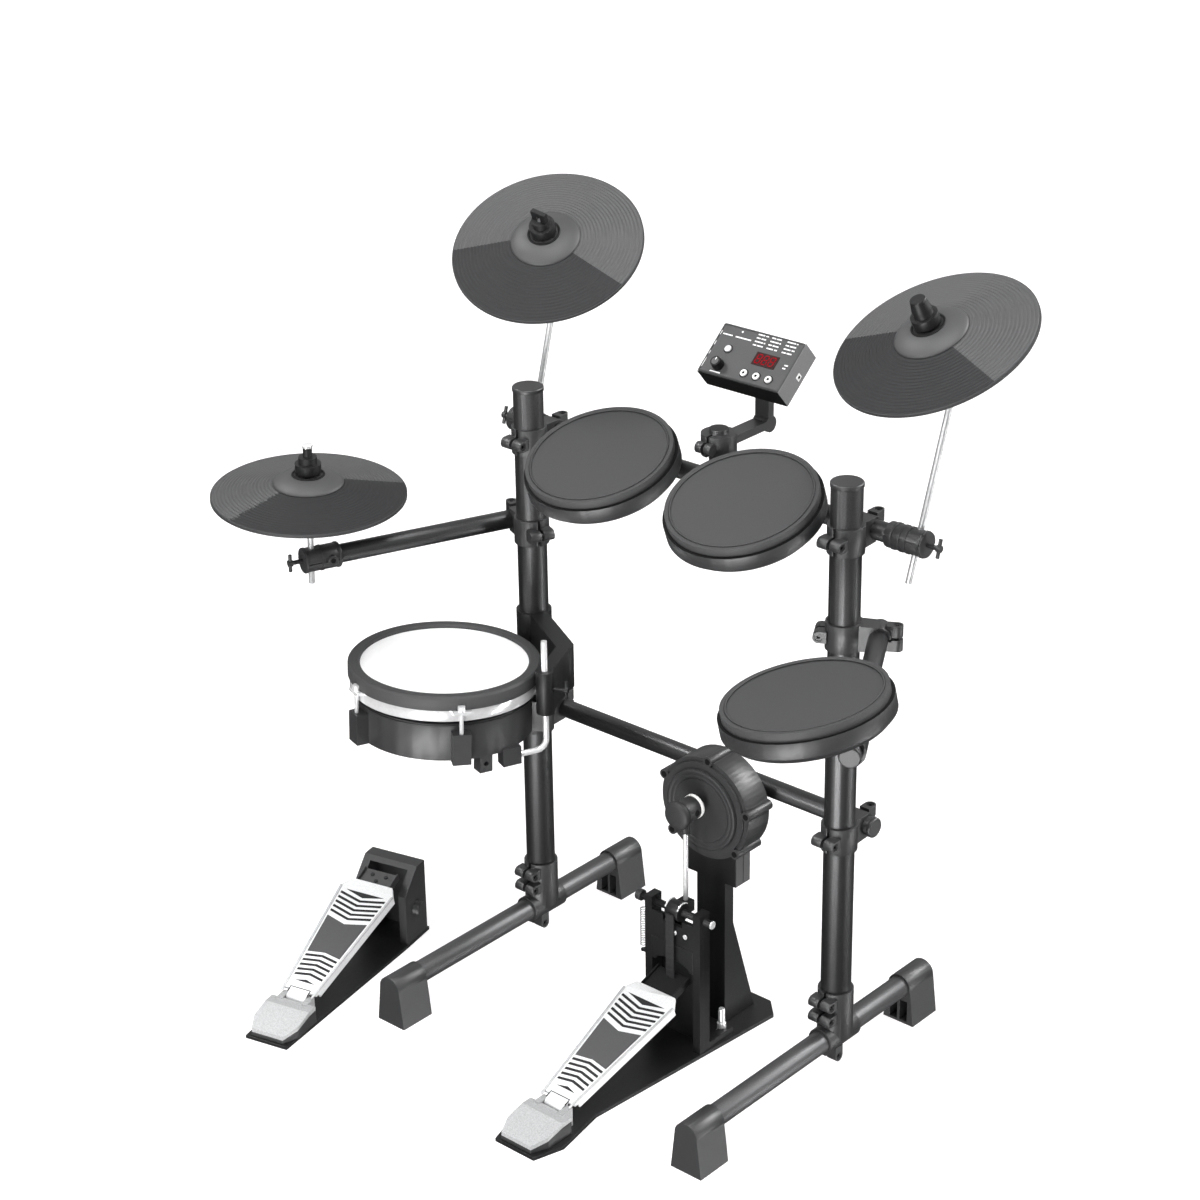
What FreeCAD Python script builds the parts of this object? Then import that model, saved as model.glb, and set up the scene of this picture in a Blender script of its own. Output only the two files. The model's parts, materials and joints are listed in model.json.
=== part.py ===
"""Compact electronic drum kit on a tube rack, in millimetres, +Z up, drummer on the -Y side.

Places are set out from the middle of the line between the two posts, on the floor. RACK_CENTRE_X and
POST_LINE_Y then shift that point so that the origin lies under the middle of the whole kit.
"""
import FreeCAD, Part
import math
import os

Vec = FreeCAD.Vector

# Where the rack stands in the part's frame
RACK_CENTRE_X = 11.8
POST_LINE_Y = 129.25

# Clearances shared by every fit
SEAT_GAP = 0.05
RUN_GAP = 0.3
OVERRUN = 5.0

# Posts, floor tubes and feet
POST_SPACING = 520.0
POST_RADIUS = 20.0
POST_WALL = 1.8
POST_TOP = 828.0
BASE_RADIUS = 15.0
BASE_WALL = 1.8
BASE_AXIS_Z = 55.0
BASE_FRONT = 305.0
BASE_BACK = 197.0
FOOT_LENGTH = 54.0
FOOT_WIDTH = 49.0
FOOT_TOP_RADIUS = 18.0
FOOT_END_WALL = 5.0
FOOT_POCKET_WALL = 4.0
FOOT_POCKET_DEPTH = 40.0
FOOT_RIB = 4.0
FOOT_SLEEVE_WALL = 5.0
CAP_THICKNESS = 6.0
CAP_LIP = 1.0
CAP_PLUG = 14.0
CAP_ROUND = 2.5

# Base tee, which joins a post to its floor tube
TEE_WALL = 3.6
TEE_TOP = 125.0
TEE_LENGTH = 64.0
TEE_FLOOR = 3.0
TEE_EAR_HEIGHTS = (90.0, 112.0)
TEE_SLIT_BOTTOM = 80.0
TEE_LUG_REACH = 6.0
TEE_LUG_SETBACK = 20.0

# Cross clamp: a post ring and a bar ring moulded in one
CLAMP_OFFSET = 43.0
CLAMP_WALL = 3.6
CLAMP_HEIGHT = 36.0
BAR_RING_WIDTH = 24.0
WEB_WIDTH = 27.0
EAR_RADIUS = 7.5
EAR_SPAN = 34.0
EAR_REACH = 6.0
SLIT = 4.0

# Clamp bolts
BOLT_RADIUS = 2.9
BOLT_HEAD_RADIUS = 5.0
BOLT_HEAD_HEIGHT = 5.0
BOLT_RECESS = 6.5
BOLT_FIT = 0.2
BOLT_SOCKET_RADIUS = 2.4
BOLT_SOCKET_DEPTH = 3.0

# Crossbars
BAR_RADIUS = 12.5
BAR_WALL = 1.5
LOWER_BAR_Z = 350.0
LOWER_BAR_PAST = 15.0
UPPER_BAR_Z = 760.0

# Cymbal rods and their clamps
ROD_RADIUS = 4.0
ROD_LEAN = 15.5
CRASH_ROD_FACING = 90.0
RIDE_ROD_FACING = 80.0
ROD_BEND_RADIUS = 26.0
ROD_CLAMP_RADIUS = 16.5
ROD_CLAMP_SETBACK = 8.0
ROD_CLAMP_SEAM = 1.6
ROD_CLAMP_SEAM_DEPTH = 1.2
ROD_RISE = 193.0
ROD_NECK = 65.0
ROD_TAIL = 52.0
CRASH_OUT = 31.0
CRASH_NOSE = 36.0
CRASH_SLEEVE = 9.0
CRASH_TILT = 31.8
CRASH_FACING = -65.4
RIDE_OUT = 75.0
RIDE_SLEEVE = 32.0
RIDE_NOSE = 14.0
RIDE_TILT = 26.7
RIDE_FACING = -105.6
SCREW_RADIUS = 3.0
SCREW_LENGTH = 20.0
SCREW_SEAT = 6.0
SCREW_BAR_RADIUS = 2.4
SCREW_BAR_LENGTH = 24.0
SCREW_HUB_RADIUS = 4.5
SCREW_HUB_LENGTH = 6.0

# Cymbal pads
CYMBAL_RADIUS = 127.0
CYMBAL_EDGE = 4.0
CYMBAL_SHELL = 5.0
CYMBAL_RISE = 15.0
BELL_RADIUS = 46.0
BELL_RISE = 12.0
BELL_FLAT_RADIUS = 18.0
CYMBAL_HOLE_RADIUS = 4.8
CYMBAL_ROCK = 6.0
ROCK_ROOM_SHARE = 1.4
JACK_BOX_LENGTH = 30.0
JACK_BOX_WIDTH = 24.0
JACK_AXIS_DROP = 5.0
JACK_BOX_UNDER = 6.0
JACK_BOX_PLACE = 62.0
SEAT_COLLAR_RADIUS = 11.0
SEAT_COLLAR_HEIGHT = 12.0
SEAT_COLLAR_NECK = 5.2
SEAT_COLLAR_CLEAR = 0.7
NUT_FELT_RADIUS = 17.0
NUT_FELT_HEIGHT = 15.0
NUT_COLLAR_RADIUS = 12.0
NUT_COLLAR_HEIGHT = 9.0
NUT_WING_WIDTH = 22.0
NUT_WING_THICKNESS = 6.0
NUT_WING_HEIGHT = 14.0

# Jack sockets
JACK_RADIUS = 3.3
JACK_DEPTH = 14.0

# Hi-hat arm
HI_HAT_ARM_Z = 631.0
HI_HAT_ARM_TURN = 22.5
HI_HAT_ARM_REACH = 298.0
HI_HAT_SLEEVE = 30.0
HI_HAT_NOSE = 12.0
HI_HAT_ROD_TAIL = 34.0
HI_HAT_CYMBAL_UP = 91.0
HI_HAT_TILT = 2.9
HI_HAT_FACING = -11.0
ARM_STUB = 24.0
CLUTCH_STUD_RADIUS = 6.0
CLUTCH_STUD_HEIGHT = 13.0

# Floor tom arm
FLOOR_ARM_Z = 632.0
FLOOR_ARM_TURN = 30.5
FLOOR_ARM_REACH = 318.0

# Tom pads
TOM_SHELL_RADIUS = 101.5
TOM_RUBBER_RADIUS = 97.0
TOM_SHELL_HEIGHT = 27.0
TOM_SHELL_FLOOR = 4.0
TOM_SHELL_WALL = 3.0
TOM_CHAMFER = 8.0
TOM_LEDGE_RADIUS = 88.0
TOM_SEAT_DEPTH = 5.0
TOM_RUBBER_RAISE = 11.0
TOM_RIM_STEP = 1.5
TOM_PLAY_RADIUS = 91.0
TOM_1_X = -102.0
TOM_2_X = 130.0
TOM_TILT = 19.6
TOM_LIFT = 18.0
TOM_FORWARD = 68.0
TOM_MOUNT_WIDTH = 30.0
TOM_MOUNT_NECK = 26.0
TOM_MOUNT_WALL = 4.6
TOM_JACK_RADIUS = 9.0
TOM_JACK_HEIGHT = 16.0
TOM_JACK_PLACE = 60.0
FLOOR_TOM_INSET = 23.0
FLOOR_TOM_PAST = 15.0
FLOOR_TOM_ASIDE = 40.0
FLOOR_TOM_LIFT = 39.7
FLOOR_TOM_TILT = 11.1
FLOOR_TOM_FACING = 207.9

# Snare pad
SNARE_X = 5.0
SNARE_FORWARD = 179.0
SNARE_TOP = 502.0
SNARE_TILT = 3.0
SNARE_SHELL_RADIUS = 118.0
SNARE_SHELL_WALL = 4.0
SNARE_SHELL_TOP = 34.0
SNARE_SHELL_BOTTOM = 88.0
SNARE_FLOOR = 4.0
SNARE_MESH_RADIUS = 119.0
SNARE_MESH_THICKNESS = 1.0
SNARE_HOOP_OUTER = 124.5
SNARE_HOOP_WALL = 2.2
SNARE_HOOP_BOTTOM = 30.0
SNARE_COVER_OUTER = 127.0
SNARE_COVER_INNER = 110.7
SNARE_COVER_TOP = 5.0
SNARE_COVER_BOTTOM = 14.0
SNARE_BEAD_RADIUS = 3.0
SNARE_LUG_COUNT = 5
SNARE_LUG_START = -36.0
SNARE_LUG_WIDTH = 24.0
SNARE_LUG_DEPTH = 16.0
SNARE_LUG_TOP = 46.0
SNARE_ROD_RADIUS = 2.8
SNARE_ROD_HEAD_RADIUS = 5.0
SNARE_ROD_HEAD_HEIGHT = 7.0
SNARE_ROD_OUT = 4.0
SNARE_EAR_THICKNESS = 4.0
SNARE_JACK_LUG_ANGLE = -18.0
SNARE_JACK_LUG_WIDTH = 18.0
SNARE_JACK_LUG_DROP = 24.0
SNARE_JACK_LUG_DEPTH = 18.0
SNARE_JACK_LUG_IN = 2.0
SNARE_BRACKET_WIDTH = 26.0
SNARE_BRACKET_HEIGHT = 18.0
L_ROD_BEND_RADIUS = 14.0
L_ROD_PAST = 72.0
L_ROD_LEVEL = 402.0
L_ROD_GRIP = 20.0
L_ROD_TURN = -112.3
L_ROD_REACH = 60.0
SNARE_BRACKET_TURN = -5.26
SNARE_BRACKET_INSET = 3.28
HOLDER_Z = 484.0
HOLDER_HEIGHT = 60.0
HOLDER_WALL = 4.0
HOLDER_ARM_WIDTH = 18.0
HOLDER_NOSE = 12.0
HOLDER_SCREW_LIFT = 6.0
HOLDER_KNEE_X = 110.0
HOLDER_KNEE_FORWARD = 60.0
HOLDER_ROOT_WIDTH = 24.0

# Sound module, its mast and bracket
MAST_X = 27.0
MAST_RADIUS = 12.5
MAST_TOP = 832.0
MAST_FOOT_RADIUS = 17.5
MAST_FOOT_WIDTH = 30.0
BRACKET_RING_RADIUS = 23.0
BRACKET_RING_HEIGHT = 28.0
BRACKET_RING_Z = 812.0
BRACKET_WIDTH = 22.0
BRACKET_THICKNESS = 11.0
BRACKET_BACK = 92.0
BRACKET_EYE_RADIUS = 10.0
BRACKET_EAR_SPAN = 24.0
BRACKET_EYE_UP = 63.0
MODULE_WIDTH = 130.0
MODULE_DEPTH = 75.0
MODULE_THICKNESS = 33.0
MODULE_TILT = 40.6
MODULE_EDGE = 3.0
MODULE_WALL = 2.5
MODULE_FACE_RECESS = 0.8
MODULE_FACE_MARGIN = 3.0
MODULE_LUG_WIDTH = 9.0
MODULE_LUG_RADIUS = 9.0
MODULE_LUG_DROP = 12.0
MODULE_PIN_RADIUS = 3.0
BUTTON_RADIUS = 4.6
BUTTON_HEIGHT = 3.0
BUTTON_TRAVEL = 1.2
BUTTON_GAP = 0.3
BUTTON_WELL = 3.2
BUTTON_ROW_SHARES = ((0.03, -0.325), (0.18, -0.325), (0.33, -0.325))
POWER_PLACE_SHARES = (-0.29, 0.03)
KNOB_PLACE_SHARES = (-0.29, -0.31)
KNOB_RADIUS = 8.0
KNOB_HEIGHT = 11.0
KNOB_STEM_RADIUS = 3.0
KNOB_STEM_DEPTH = 8.0
MODULE_JACK_SPACING = 26.0

# Kick tower and its pad
KICK_X = 65.0
KICK_PAD_Z = 333.0
KICK_PAD_FRONT = 39.0
KICK_PAD_RADIUS = 57.0
KICK_PAD_THICKNESS = 12.0
KICK_HOUSING_RADIUS = 72.0
KICK_HOUSING_FACE_RADIUS = 66.0
KICK_HOUSING_DEPTH = 48.0
KICK_HOUSING_SETBACK = 4.0
KICK_BOSS_TURNS = (84.0, 10.0, -43.0, 223.0, 156.0)
KICK_BOSS_RADIUS = 7.0
KICK_NECK_WIDTH = 84.0
KICK_NECK_BOTTOM = 222.0
KICK_NECK_DEPTH = 30.0
KICK_COLUMN_WIDTH = 48.0
KICK_COLUMN_DEPTH = 18.0
KICK_COLUMN_FRONT = 18.0
KICK_COLUMN_WALL = 4.0
KICK_PLATE_THICKNESS = 5.0
KICK_PLATE_FRONT = 409.0
KICK_PLATE_BACK = 66.0
KICK_PLATE_NOSE_WIDTH = 66.0
KICK_PLATE_HEEL_WIDTH = 92.0
KICK_PLATE_HEEL = 366.0
KICK_PLATE_WAIST_WIDTH = 64.0
KICK_PLATE_WAIST = 288.0
KICK_PLATE_CORNER = 24.0
KICK_PLATE_TOE_WIDTH = 122.0
GUSSET_THICKNESS = 4.0
GUSSET_HEIGHT = 150.0
GUSSET_REACH = 46.0

# Pedal frame, axle, beater, strap and spring
FRAME_Y = 88.0
FRAME_WIDTH = 94.0
FRAME_POST_WIDTH = 12.0
FRAME_POST_DEPTH = 20.0
FRAME_TOP = 216.0
FRAME_PLATE_BOTTOM = 158.0
FRAME_PLATE_TOP = 188.0
FRAME_PLATE_THICKNESS = 6.0
FRAME_FOOT_DEPTH = 60.0
FRAME_FOOT_HEIGHT = 10.0
AXLE_Y = 88.0
AXLE_Z = 205.0
AXLE_RADIUS = 5.0
AXLE_PAST = 12.0
AXLE_FIT = 0.06
HUB_RADIUS = 13.0
HUB_WIDTH = 22.0
HUB_ARM_WIDTH = 18.0
HUB_ARM_HEIGHT = 16.0
HUB_ARM_REACH = 25.0
BEATER_OUT = 18.0
BEATER_LENGTH = 140.0
BEATER_SHAFT_RADIUS = 3.4
BEATER_HEAD_RADIUS = 16.0
BEATER_HEAD_LENGTH = 38.0
BEATER_SLEEVE_RADIUS = 6.0
BEATER_SLEEVE_LENGTH = 16.0
STRAP_WIDTH = 14.0
STRAP_THICKNESS = 3.0
SPRING_RADIUS = 5.0
SPRING_WIRE = 0.9
SPRING_PITCH = 3.6
SPRING_TURNS = 16
SPRING_SAMPLES = 48
SPRING_LUG_RADIUS = 1.8
SPRING_LUG_LENGTH = 9.0
SPRING_OUT = 10.0
SPRING_ARM_WIDTH = 4.0
SPRING_CRANK_DEPTH = 8.0

# Footboards and heel plates, alike on both pedals
BOARD_HINGE_Z = 27.5
BOARD_SLOPE = 19.3
BOARD_LENGTH = 212.0
BOARD_HEEL_WIDTH = 52.0
BOARD_TOE_WIDTH = 87.0
BOARD_NECK_WIDTH = 66.0
BOARD_NECK_LENGTH = 16.0
BOARD_THICKNESS = 5.0
BOARD_LIP = 7.0
BOARD_LIP_WALL = 3.0
TONGUE_WIDTH = 50.0
TONGUE_LENGTH = 38.0
HH_TONGUE_LENGTH = 14.0
TONGUE_THICKNESS = 6.0
HINGE_RADIUS = 4.0
HINGE_FIT = 0.06
HINGE_BARREL_RADIUS = 7.0
HINGE_BARREL_WIDTH = 30.0
HINGE_EAR_WIDTH = 9.0
HINGE_EAR_GAP = 0.5
HEEL_LENGTH = 66.0
HEEL_WIDTH = 70.0
HEEL_NOSE_WIDTH = 50.0
HEEL_HEIGHT = 24.0
HEEL_NOSE_SHARE = 1 / 3
HEEL_FLAT_SHARE = 0.25
HEEL_NOSE_HEIGHT = 10.0
HEEL_BACK_GAP = 6.0
KICK_HINGE_FORWARD = 329.0

# Hi-hat pedal
HH_PEDAL_X = -373.0
HH_PEDAL_FORWARD = 370.0
HH_PEDAL_YAW = 13.5
HH_PLATE_THICKNESS = 5.0
HH_PLATE_FRONT = 80.0
HH_PLATE_BACK = 272.0
HH_PLATE_HEEL_WIDTH = 66.0
HH_PLATE_TOE_WIDTH = 88.0
HH_HOOD_FRONT = 214.0
HH_HOOD_BACK = 268.0
HH_HOOD_WIDTH = 86.0
HH_HOOD_HEIGHT = 116.0
HH_HOOD_SLOPE = 34.0
HH_HOOD_WALL = 5.0
HH_HOOD_MOUTH_WIDTH = 62.0
HH_HOOD_MOUTH_HEIGHT = 110.0
HH_JACK_Z = 52.0
HH_JACK_BOSS_RADIUS = 11.0
HH_JACK_BOSS_LENGTH = 10.0
HH_KNOB_RADIUS = 11.0
HH_KNOB_LENGTH = 10.0

FULL_TURN = 360.0
CUBIC_CM = 1000.0
LEFT = -1.0
RIGHT = 1.0
UP = Vec(0, 0, 1)


def at(x, y, z):
    """Point given from the middle of the post line."""
    return Vec(RACK_CENTRE_X + x, POST_LINE_Y + y, z)


def heading(turn):
    """Level direction, turned from +X toward +Y by this many degrees."""
    return Vec(math.cos(math.radians(turn)), math.sin(math.radians(turn)), 0)


def leaning(tilt, facing):
    """Upward direction that leans by tilt degrees toward the facing direction."""
    return heading(facing) * math.sin(math.radians(tilt)) + UP * math.cos(math.radians(tilt))


def frame(origin, z_axis, x_hint):
    """Placement with its Z along z_axis and its X as near x_hint as that allows."""
    z = Vec(z_axis).normalize()
    y = z.cross(x_hint).normalize()
    x = y.cross(z)
    return FreeCAD.Placement(FreeCAD.Matrix(
        x.x, y.x, z.x, origin.x,
        x.y, y.y, z.y, origin.y,
        x.z, y.z, z.z, origin.z,
        0, 0, 0, 1))


def moved(shape, placement):
    """Copy of a shape, carried from its own frame to a placement."""
    copy = shape.copy()
    copy.Placement = placement.multiply(copy.Placement)
    return copy


def fused(shapes):
    """One clean solid from shapes that meet."""
    return shapes[0].multiFuse(shapes[1:]).removeSplitter()


def cut(shape, tools):
    """A shape without the tools."""
    return shape.cut(Part.makeCompound(tools)).removeSplitter()


def bar(radius, start, end):
    """Solid round bar between two points."""
    axis = end - start
    return Part.makeCylinder(radius, axis.Length, start, axis)


def tube(radius, wall, start, end):
    """Hollow round tube between two points."""
    return bar(radius, start, end).cut(bar(radius - wall, start, end))


def block(low, high):
    """Box between two corners."""
    size = high - low
    return Part.makeBox(size.x, size.y, size.z, low)


def prism(points, along):
    """Flat outline of points pushed along a vector."""
    outline = Part.makePolygon(list(points) + [points[0]])
    return Part.Face(outline).extrude(along)


def turned(points):
    """Solid of revolution about Z from (radius, height) points."""
    outline = [Vec(radius, 0, height) for radius, height in points]
    face = Part.Face(Part.makePolygon(outline + [outline[0]]))
    return face.revolve(Vec(0, 0, 0), UP, FULL_TURN)


def bent_rod(radius, start, corner, end, bend):
    """Round rod with one bend of a given radius at its corner."""
    first = (start - corner).normalize()
    second = (end - corner).normalize()
    half = first.getAngle(second) / 2
    back = bend / math.tan(half)
    centre = corner + (first + second).normalize() * (bend / math.sin(half))
    middle = centre + (corner - centre).normalize() * bend
    bend_in = corner + first * back
    bend_out = corner + second * back
    path = Part.Wire([
        Part.LineSegment(start, bend_in).toShape(),
        Part.Arc(bend_in, middle, bend_out).toShape(),
        Part.LineSegment(bend_out, end).toShape()])
    section = Part.Wire(Part.makeCircle(radius, start, first * -1))
    return path.makePipeShell([section], True, False)


def bolt(length):
    """Socket-head bolt from the head's underside at z 0 down to -length."""
    body = fused([bar(BOLT_RADIUS, Vec(0, 0, -length), Vec(0, 0, 0)),
                  bar(BOLT_HEAD_RADIUS, Vec(0, 0, 0), Vec(0, 0, BOLT_HEAD_HEIGHT))])
    floor = Vec(0, 0, BOLT_HEAD_HEIGHT - BOLT_SOCKET_DEPTH)
    return cut(body, [bar(BOLT_SOCKET_RADIUS, floor, floor + UP * (BOLT_SOCKET_DEPTH + OVERRUN))])


def bolt_hole(length):
    """Hole and head recess for a bolt whose head sits at z 0."""
    return [bar(BOLT_RADIUS + BOLT_FIT, Vec(0, 0, -length - OVERRUN), Vec(0, 0, OVERRUN)),
            bar(BOLT_HEAD_RADIUS + BOLT_FIT, Vec(0, 0, 0), Vec(0, 0, BOLT_RECESS + OVERRUN))]


def ear_bolt_frame(centre, axis, across):
    """Placement of a bolt in a pair of ears, with its head sunk in the far ear."""
    return frame(centre + Vec(axis).normalize() * (EAR_SPAN / 2 - BOLT_RECESS), axis, across)


EAR_BOLT_LENGTH = EAR_SPAN - BOLT_RECESS


def end_cap(tube_radius, wall, lip_radius, centre, outward):
    """Plug with a domed lip that closes a tube's end."""
    plug = bar(tube_radius - wall - SEAT_GAP, Vec(0, 0, -CAP_PLUG), Vec(0, 0, 0))
    lip = bar(lip_radius, Vec(0, 0, 0), Vec(0, 0, CAP_THICKNESS))
    rim = [edge for edge in lip.Edges if edge.Closed and edge.CenterOfMass.z > CAP_THICKNESS / 2]
    body = fused([plug, lip.makeFillet(CAP_ROUND, rim)])
    hint = Vec(1, 0, 0) if abs(outward.x) < 1 else Vec(0, 1, 0)
    return moved(body, frame(centre, outward, hint))


# Rack


def posts():
    """Two main posts and the short mast of the module."""
    bottom = BASE_AXIS_Z + BASE_RADIUS + TEE_FLOOR
    solids = []
    for side in (LEFT, RIGHT):
        x = side * POST_SPACING / 2
        solids.append(tube(POST_RADIUS, POST_WALL, at(x, 0, bottom), at(x, 0, POST_TOP)))
    foot = at(MAST_X, CLAMP_OFFSET, UPPER_BAR_Z)
    mast = fused([bar(MAST_RADIUS, foot, at(MAST_X, CLAMP_OFFSET, MAST_TOP)),
                  bar(MAST_FOOT_RADIUS, foot - Vec(MAST_FOOT_WIDTH / 2, 0, 0),
                      foot + Vec(MAST_FOOT_WIDTH / 2, 0, 0))])
    solids.append(cut(mast, [bar(BAR_RADIUS + SEAT_GAP, foot - Vec(MAST_FOOT_WIDTH, 0, 0),
                                 foot + Vec(MAST_FOOT_WIDTH, 0, 0))]))
    return solids


def base_tubes():
    """Floor tubes that run front to back under the posts."""
    solids = []
    for side in (LEFT, RIGHT):
        x = side * POST_SPACING / 2
        front = at(x, -BASE_FRONT + FOOT_END_WALL, BASE_AXIS_Z)
        back = at(x, BASE_BACK - FOOT_END_WALL, BASE_AXIS_Z)
        solids.append(tube(BASE_RADIUS, BASE_WALL, front, back))
    return solids


def foot(x, outer_y, inward):
    """Moulded end foot round a floor tube, hollow under the tube on its inner side."""
    half = FOOT_WIDTH / 2
    outer = at(x, outer_y, 0)
    run = Vec(0, inward * FOOT_LENGTH, 0)
    wedge = prism([outer + Vec(-half, 0, 0), outer + Vec(half, 0, 0),
                   outer + Vec(FOOT_TOP_RADIUS, 0, BASE_AXIS_Z),
                   outer + Vec(-FOOT_TOP_RADIUS, 0, BASE_AXIS_Z)], run)
    axis = outer + UP * BASE_AXIS_Z
    body = fused([wedge, bar(FOOT_TOP_RADIUS, axis, axis + run)])
    bore = bar(BASE_RADIUS + SEAT_GAP, axis + Vec(0, inward * FOOT_END_WALL, 0), axis + run * 2)
    inner = outer + run
    pocket_top = BASE_AXIS_Z - BASE_RADIUS - FOOT_SLEEVE_WALL
    pockets = []
    for side in (LEFT, RIGHT):
        near = Vec(side * FOOT_RIB / 2, -inward * FOOT_POCKET_DEPTH, FOOT_POCKET_WALL)
        far = Vec(side * (FOOT_TOP_RADIUS - FOOT_POCKET_WALL), inward * OVERRUN, pocket_top)
        low = Vec(min(near.x, far.x), min(near.y, far.y), near.z)
        high = Vec(max(near.x, far.x), max(near.y, far.y), far.z)
        pockets.append(block(inner + low, inner + high))
    return cut(body, [bore] + pockets)


def feet():
    solids = []
    for side in (LEFT, RIGHT):
        x = side * POST_SPACING / 2
        solids.append(foot(x, -BASE_FRONT, 1))
        solids.append(foot(x, BASE_BACK, -1))
    return solids


def tee_ears(side):
    """Bolt centres of one base tee: two on the post sleeve and one under the tube sleeve."""
    x = side * POST_SPACING / 2
    out = POST_RADIUS + TEE_WALL + EAR_REACH
    centres = [at(x, -out, height) for height in TEE_EAR_HEIGHTS]
    under = BASE_AXIS_Z - BASE_RADIUS - TEE_WALL - TEE_LUG_REACH
    centres.append(at(x, TEE_LUG_SETBACK - TEE_LENGTH / 2, under))
    return centres


def base_tee(side):
    x = side * POST_SPACING / 2
    joint = at(x, 0, BASE_AXIS_Z)
    half = Vec(0, TEE_LENGTH / 2, 0)
    across = Vec(EAR_SPAN / 2, 0, 0)
    solids = [bar(BASE_RADIUS + TEE_WALL, joint - half, joint + half),
              bar(POST_RADIUS + TEE_WALL, joint, at(x, 0, TEE_TOP))]
    ears = tee_ears(side)
    for centre in ears:
        solids.append(bar(EAR_RADIUS, centre - across, centre + across))
    for centre in ears[:2]:
        solids.append(block(centre - across - Vec(0, 0, EAR_RADIUS),
                            centre + across + Vec(0, POST_RADIUS / 2, EAR_RADIUS)))
    under = ears[2]
    solids.append(block(under - across - Vec(0, EAR_RADIUS, 0),
                        under + across + Vec(0, EAR_RADIUS, BASE_RADIUS)))
    slit = Vec(SLIT / 2, 0, 0)
    tools = [bar(BASE_RADIUS + SEAT_GAP, joint - half * 2, joint + half * 2),
             bar(POST_RADIUS + SEAT_GAP, joint + UP * (BASE_RADIUS + TEE_FLOOR), at(x, 0, TEE_TOP + OVERRUN)),
             block(at(x, -POST_RADIUS - EAR_SPAN, TEE_SLIT_BOTTOM) - slit,
                   at(x, 0, TEE_TOP + OVERRUN) + slit),
             block(joint - half * 2 - slit - UP * BASE_AXIS_Z, joint + half * 2 + slit)]
    for centre in ears:
        place = ear_bolt_frame(centre, Vec(1, 0, 0), UP)
        tools += [moved(hole, place) for hole in bolt_hole(EAR_BOLT_LENGTH)]
    return cut(fused(solids), tools)


def clamp_bolt_frames():
    """Bolt places of a cross clamp in its own frame: post ears, then bar ears."""
    post_out = POST_RADIUS + CLAMP_WALL + EAR_REACH
    bar_out = CLAMP_OFFSET + BAR_RADIUS + CLAMP_WALL + EAR_REACH
    return [ear_bolt_frame(Vec(0, -post_out, 0), Vec(1, 0, 0), UP),
            ear_bolt_frame(Vec(0, bar_out, 0), UP, Vec(1, 0, 0))]


def cross_clamp(gap):
    """Clamp in its own frame: post ring round Z, bar ring round a bar along X behind it."""
    ring_half = UP * (CLAMP_HEIGHT / 2)
    bar_half = Vec(BAR_RING_WIDTH / 2, 0, 0)
    across = Vec(EAR_SPAN / 2, 0, 0)
    upright = UP * (EAR_SPAN / 2)
    centre = Vec(0, CLAMP_OFFSET, 0)
    post_ear = Vec(0, -(POST_RADIUS + CLAMP_WALL + EAR_REACH), 0)
    bar_ear = centre + Vec(0, BAR_RADIUS + CLAMP_WALL + EAR_REACH, 0)
    bar_ring = BAR_RADIUS + CLAMP_WALL
    web = prism([Vec(-WEB_WIDTH / 2, 0, -CLAMP_HEIGHT / 2), Vec(-WEB_WIDTH / 2, 0, CLAMP_HEIGHT / 2),
                 Vec(-WEB_WIDTH / 2, CLAMP_OFFSET, bar_ring), Vec(-WEB_WIDTH / 2, CLAMP_OFFSET, -bar_ring)],
                Vec(WEB_WIDTH, 0, 0))
    solids = [bar(POST_RADIUS + CLAMP_WALL, -ring_half, ring_half),
              bar(bar_ring, centre - bar_half, centre + bar_half),
              web,
              bar(EAR_RADIUS, post_ear - across, post_ear + across),
              block(post_ear - across - UP * EAR_RADIUS,
                    post_ear + across + Vec(0, POST_RADIUS / 2, EAR_RADIUS)),
              bar(EAR_RADIUS, bar_ear - upright, bar_ear + upright),
              block(bar_ear - upright - Vec(EAR_RADIUS, BAR_RADIUS, 0),
                    bar_ear + upright + Vec(EAR_RADIUS, 0, 0))]
    slit = SLIT / 2
    tools = [bar(POST_RADIUS + gap, -ring_half * 2, ring_half * 2),
             bar(BAR_RADIUS + SEAT_GAP, centre - bar_half * 2, centre + bar_half * 2),
             block(Vec(-slit, post_ear.y - EAR_SPAN, -CLAMP_HEIGHT), Vec(slit, 0, CLAMP_HEIGHT)),
             block(Vec(-EAR_SPAN, CLAMP_OFFSET, -slit), Vec(EAR_SPAN, bar_ear.y + EAR_SPAN, slit))]
    for place in clamp_bolt_frames():
        tools += [moved(hole, place) for hole in bolt_hole(EAR_BOLT_LENGTH)]
    return cut(fused(solids), tools)


def clamp_places():
    """Cross clamps of the two crossbars."""
    places = []
    for height in (LOWER_BAR_Z, UPPER_BAR_Z):
        for side in (LEFT, RIGHT):
            places.append(frame(at(side * POST_SPACING / 2, 0, height), UP, Vec(1, 0, 0)))
    return places


def rack_clamps():
    solids = [base_tee(side) for side in (LEFT, RIGHT)]
    clamp = cross_clamp(SEAT_GAP)
    return solids + [moved(clamp, place) for place in clamp_places()]


def rack_bolts():
    """Bolts of the tees and crossbar clamps, and the snare holder's wing screw."""
    solids = []
    ear_bolt = bolt(EAR_BOLT_LENGTH)
    for side in (LEFT, RIGHT):
        for centre in tee_ears(side):
            solids.append(moved(ear_bolt, ear_bolt_frame(centre, Vec(1, 0, 0), UP)))
    for place in clamp_places():
        for inner in clamp_bolt_frames():
            solids.append(moved(ear_bolt, place.multiply(inner)))
    solids.append(moved(thumb_screw(), holder_screw_frame()))
    return solids


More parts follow.
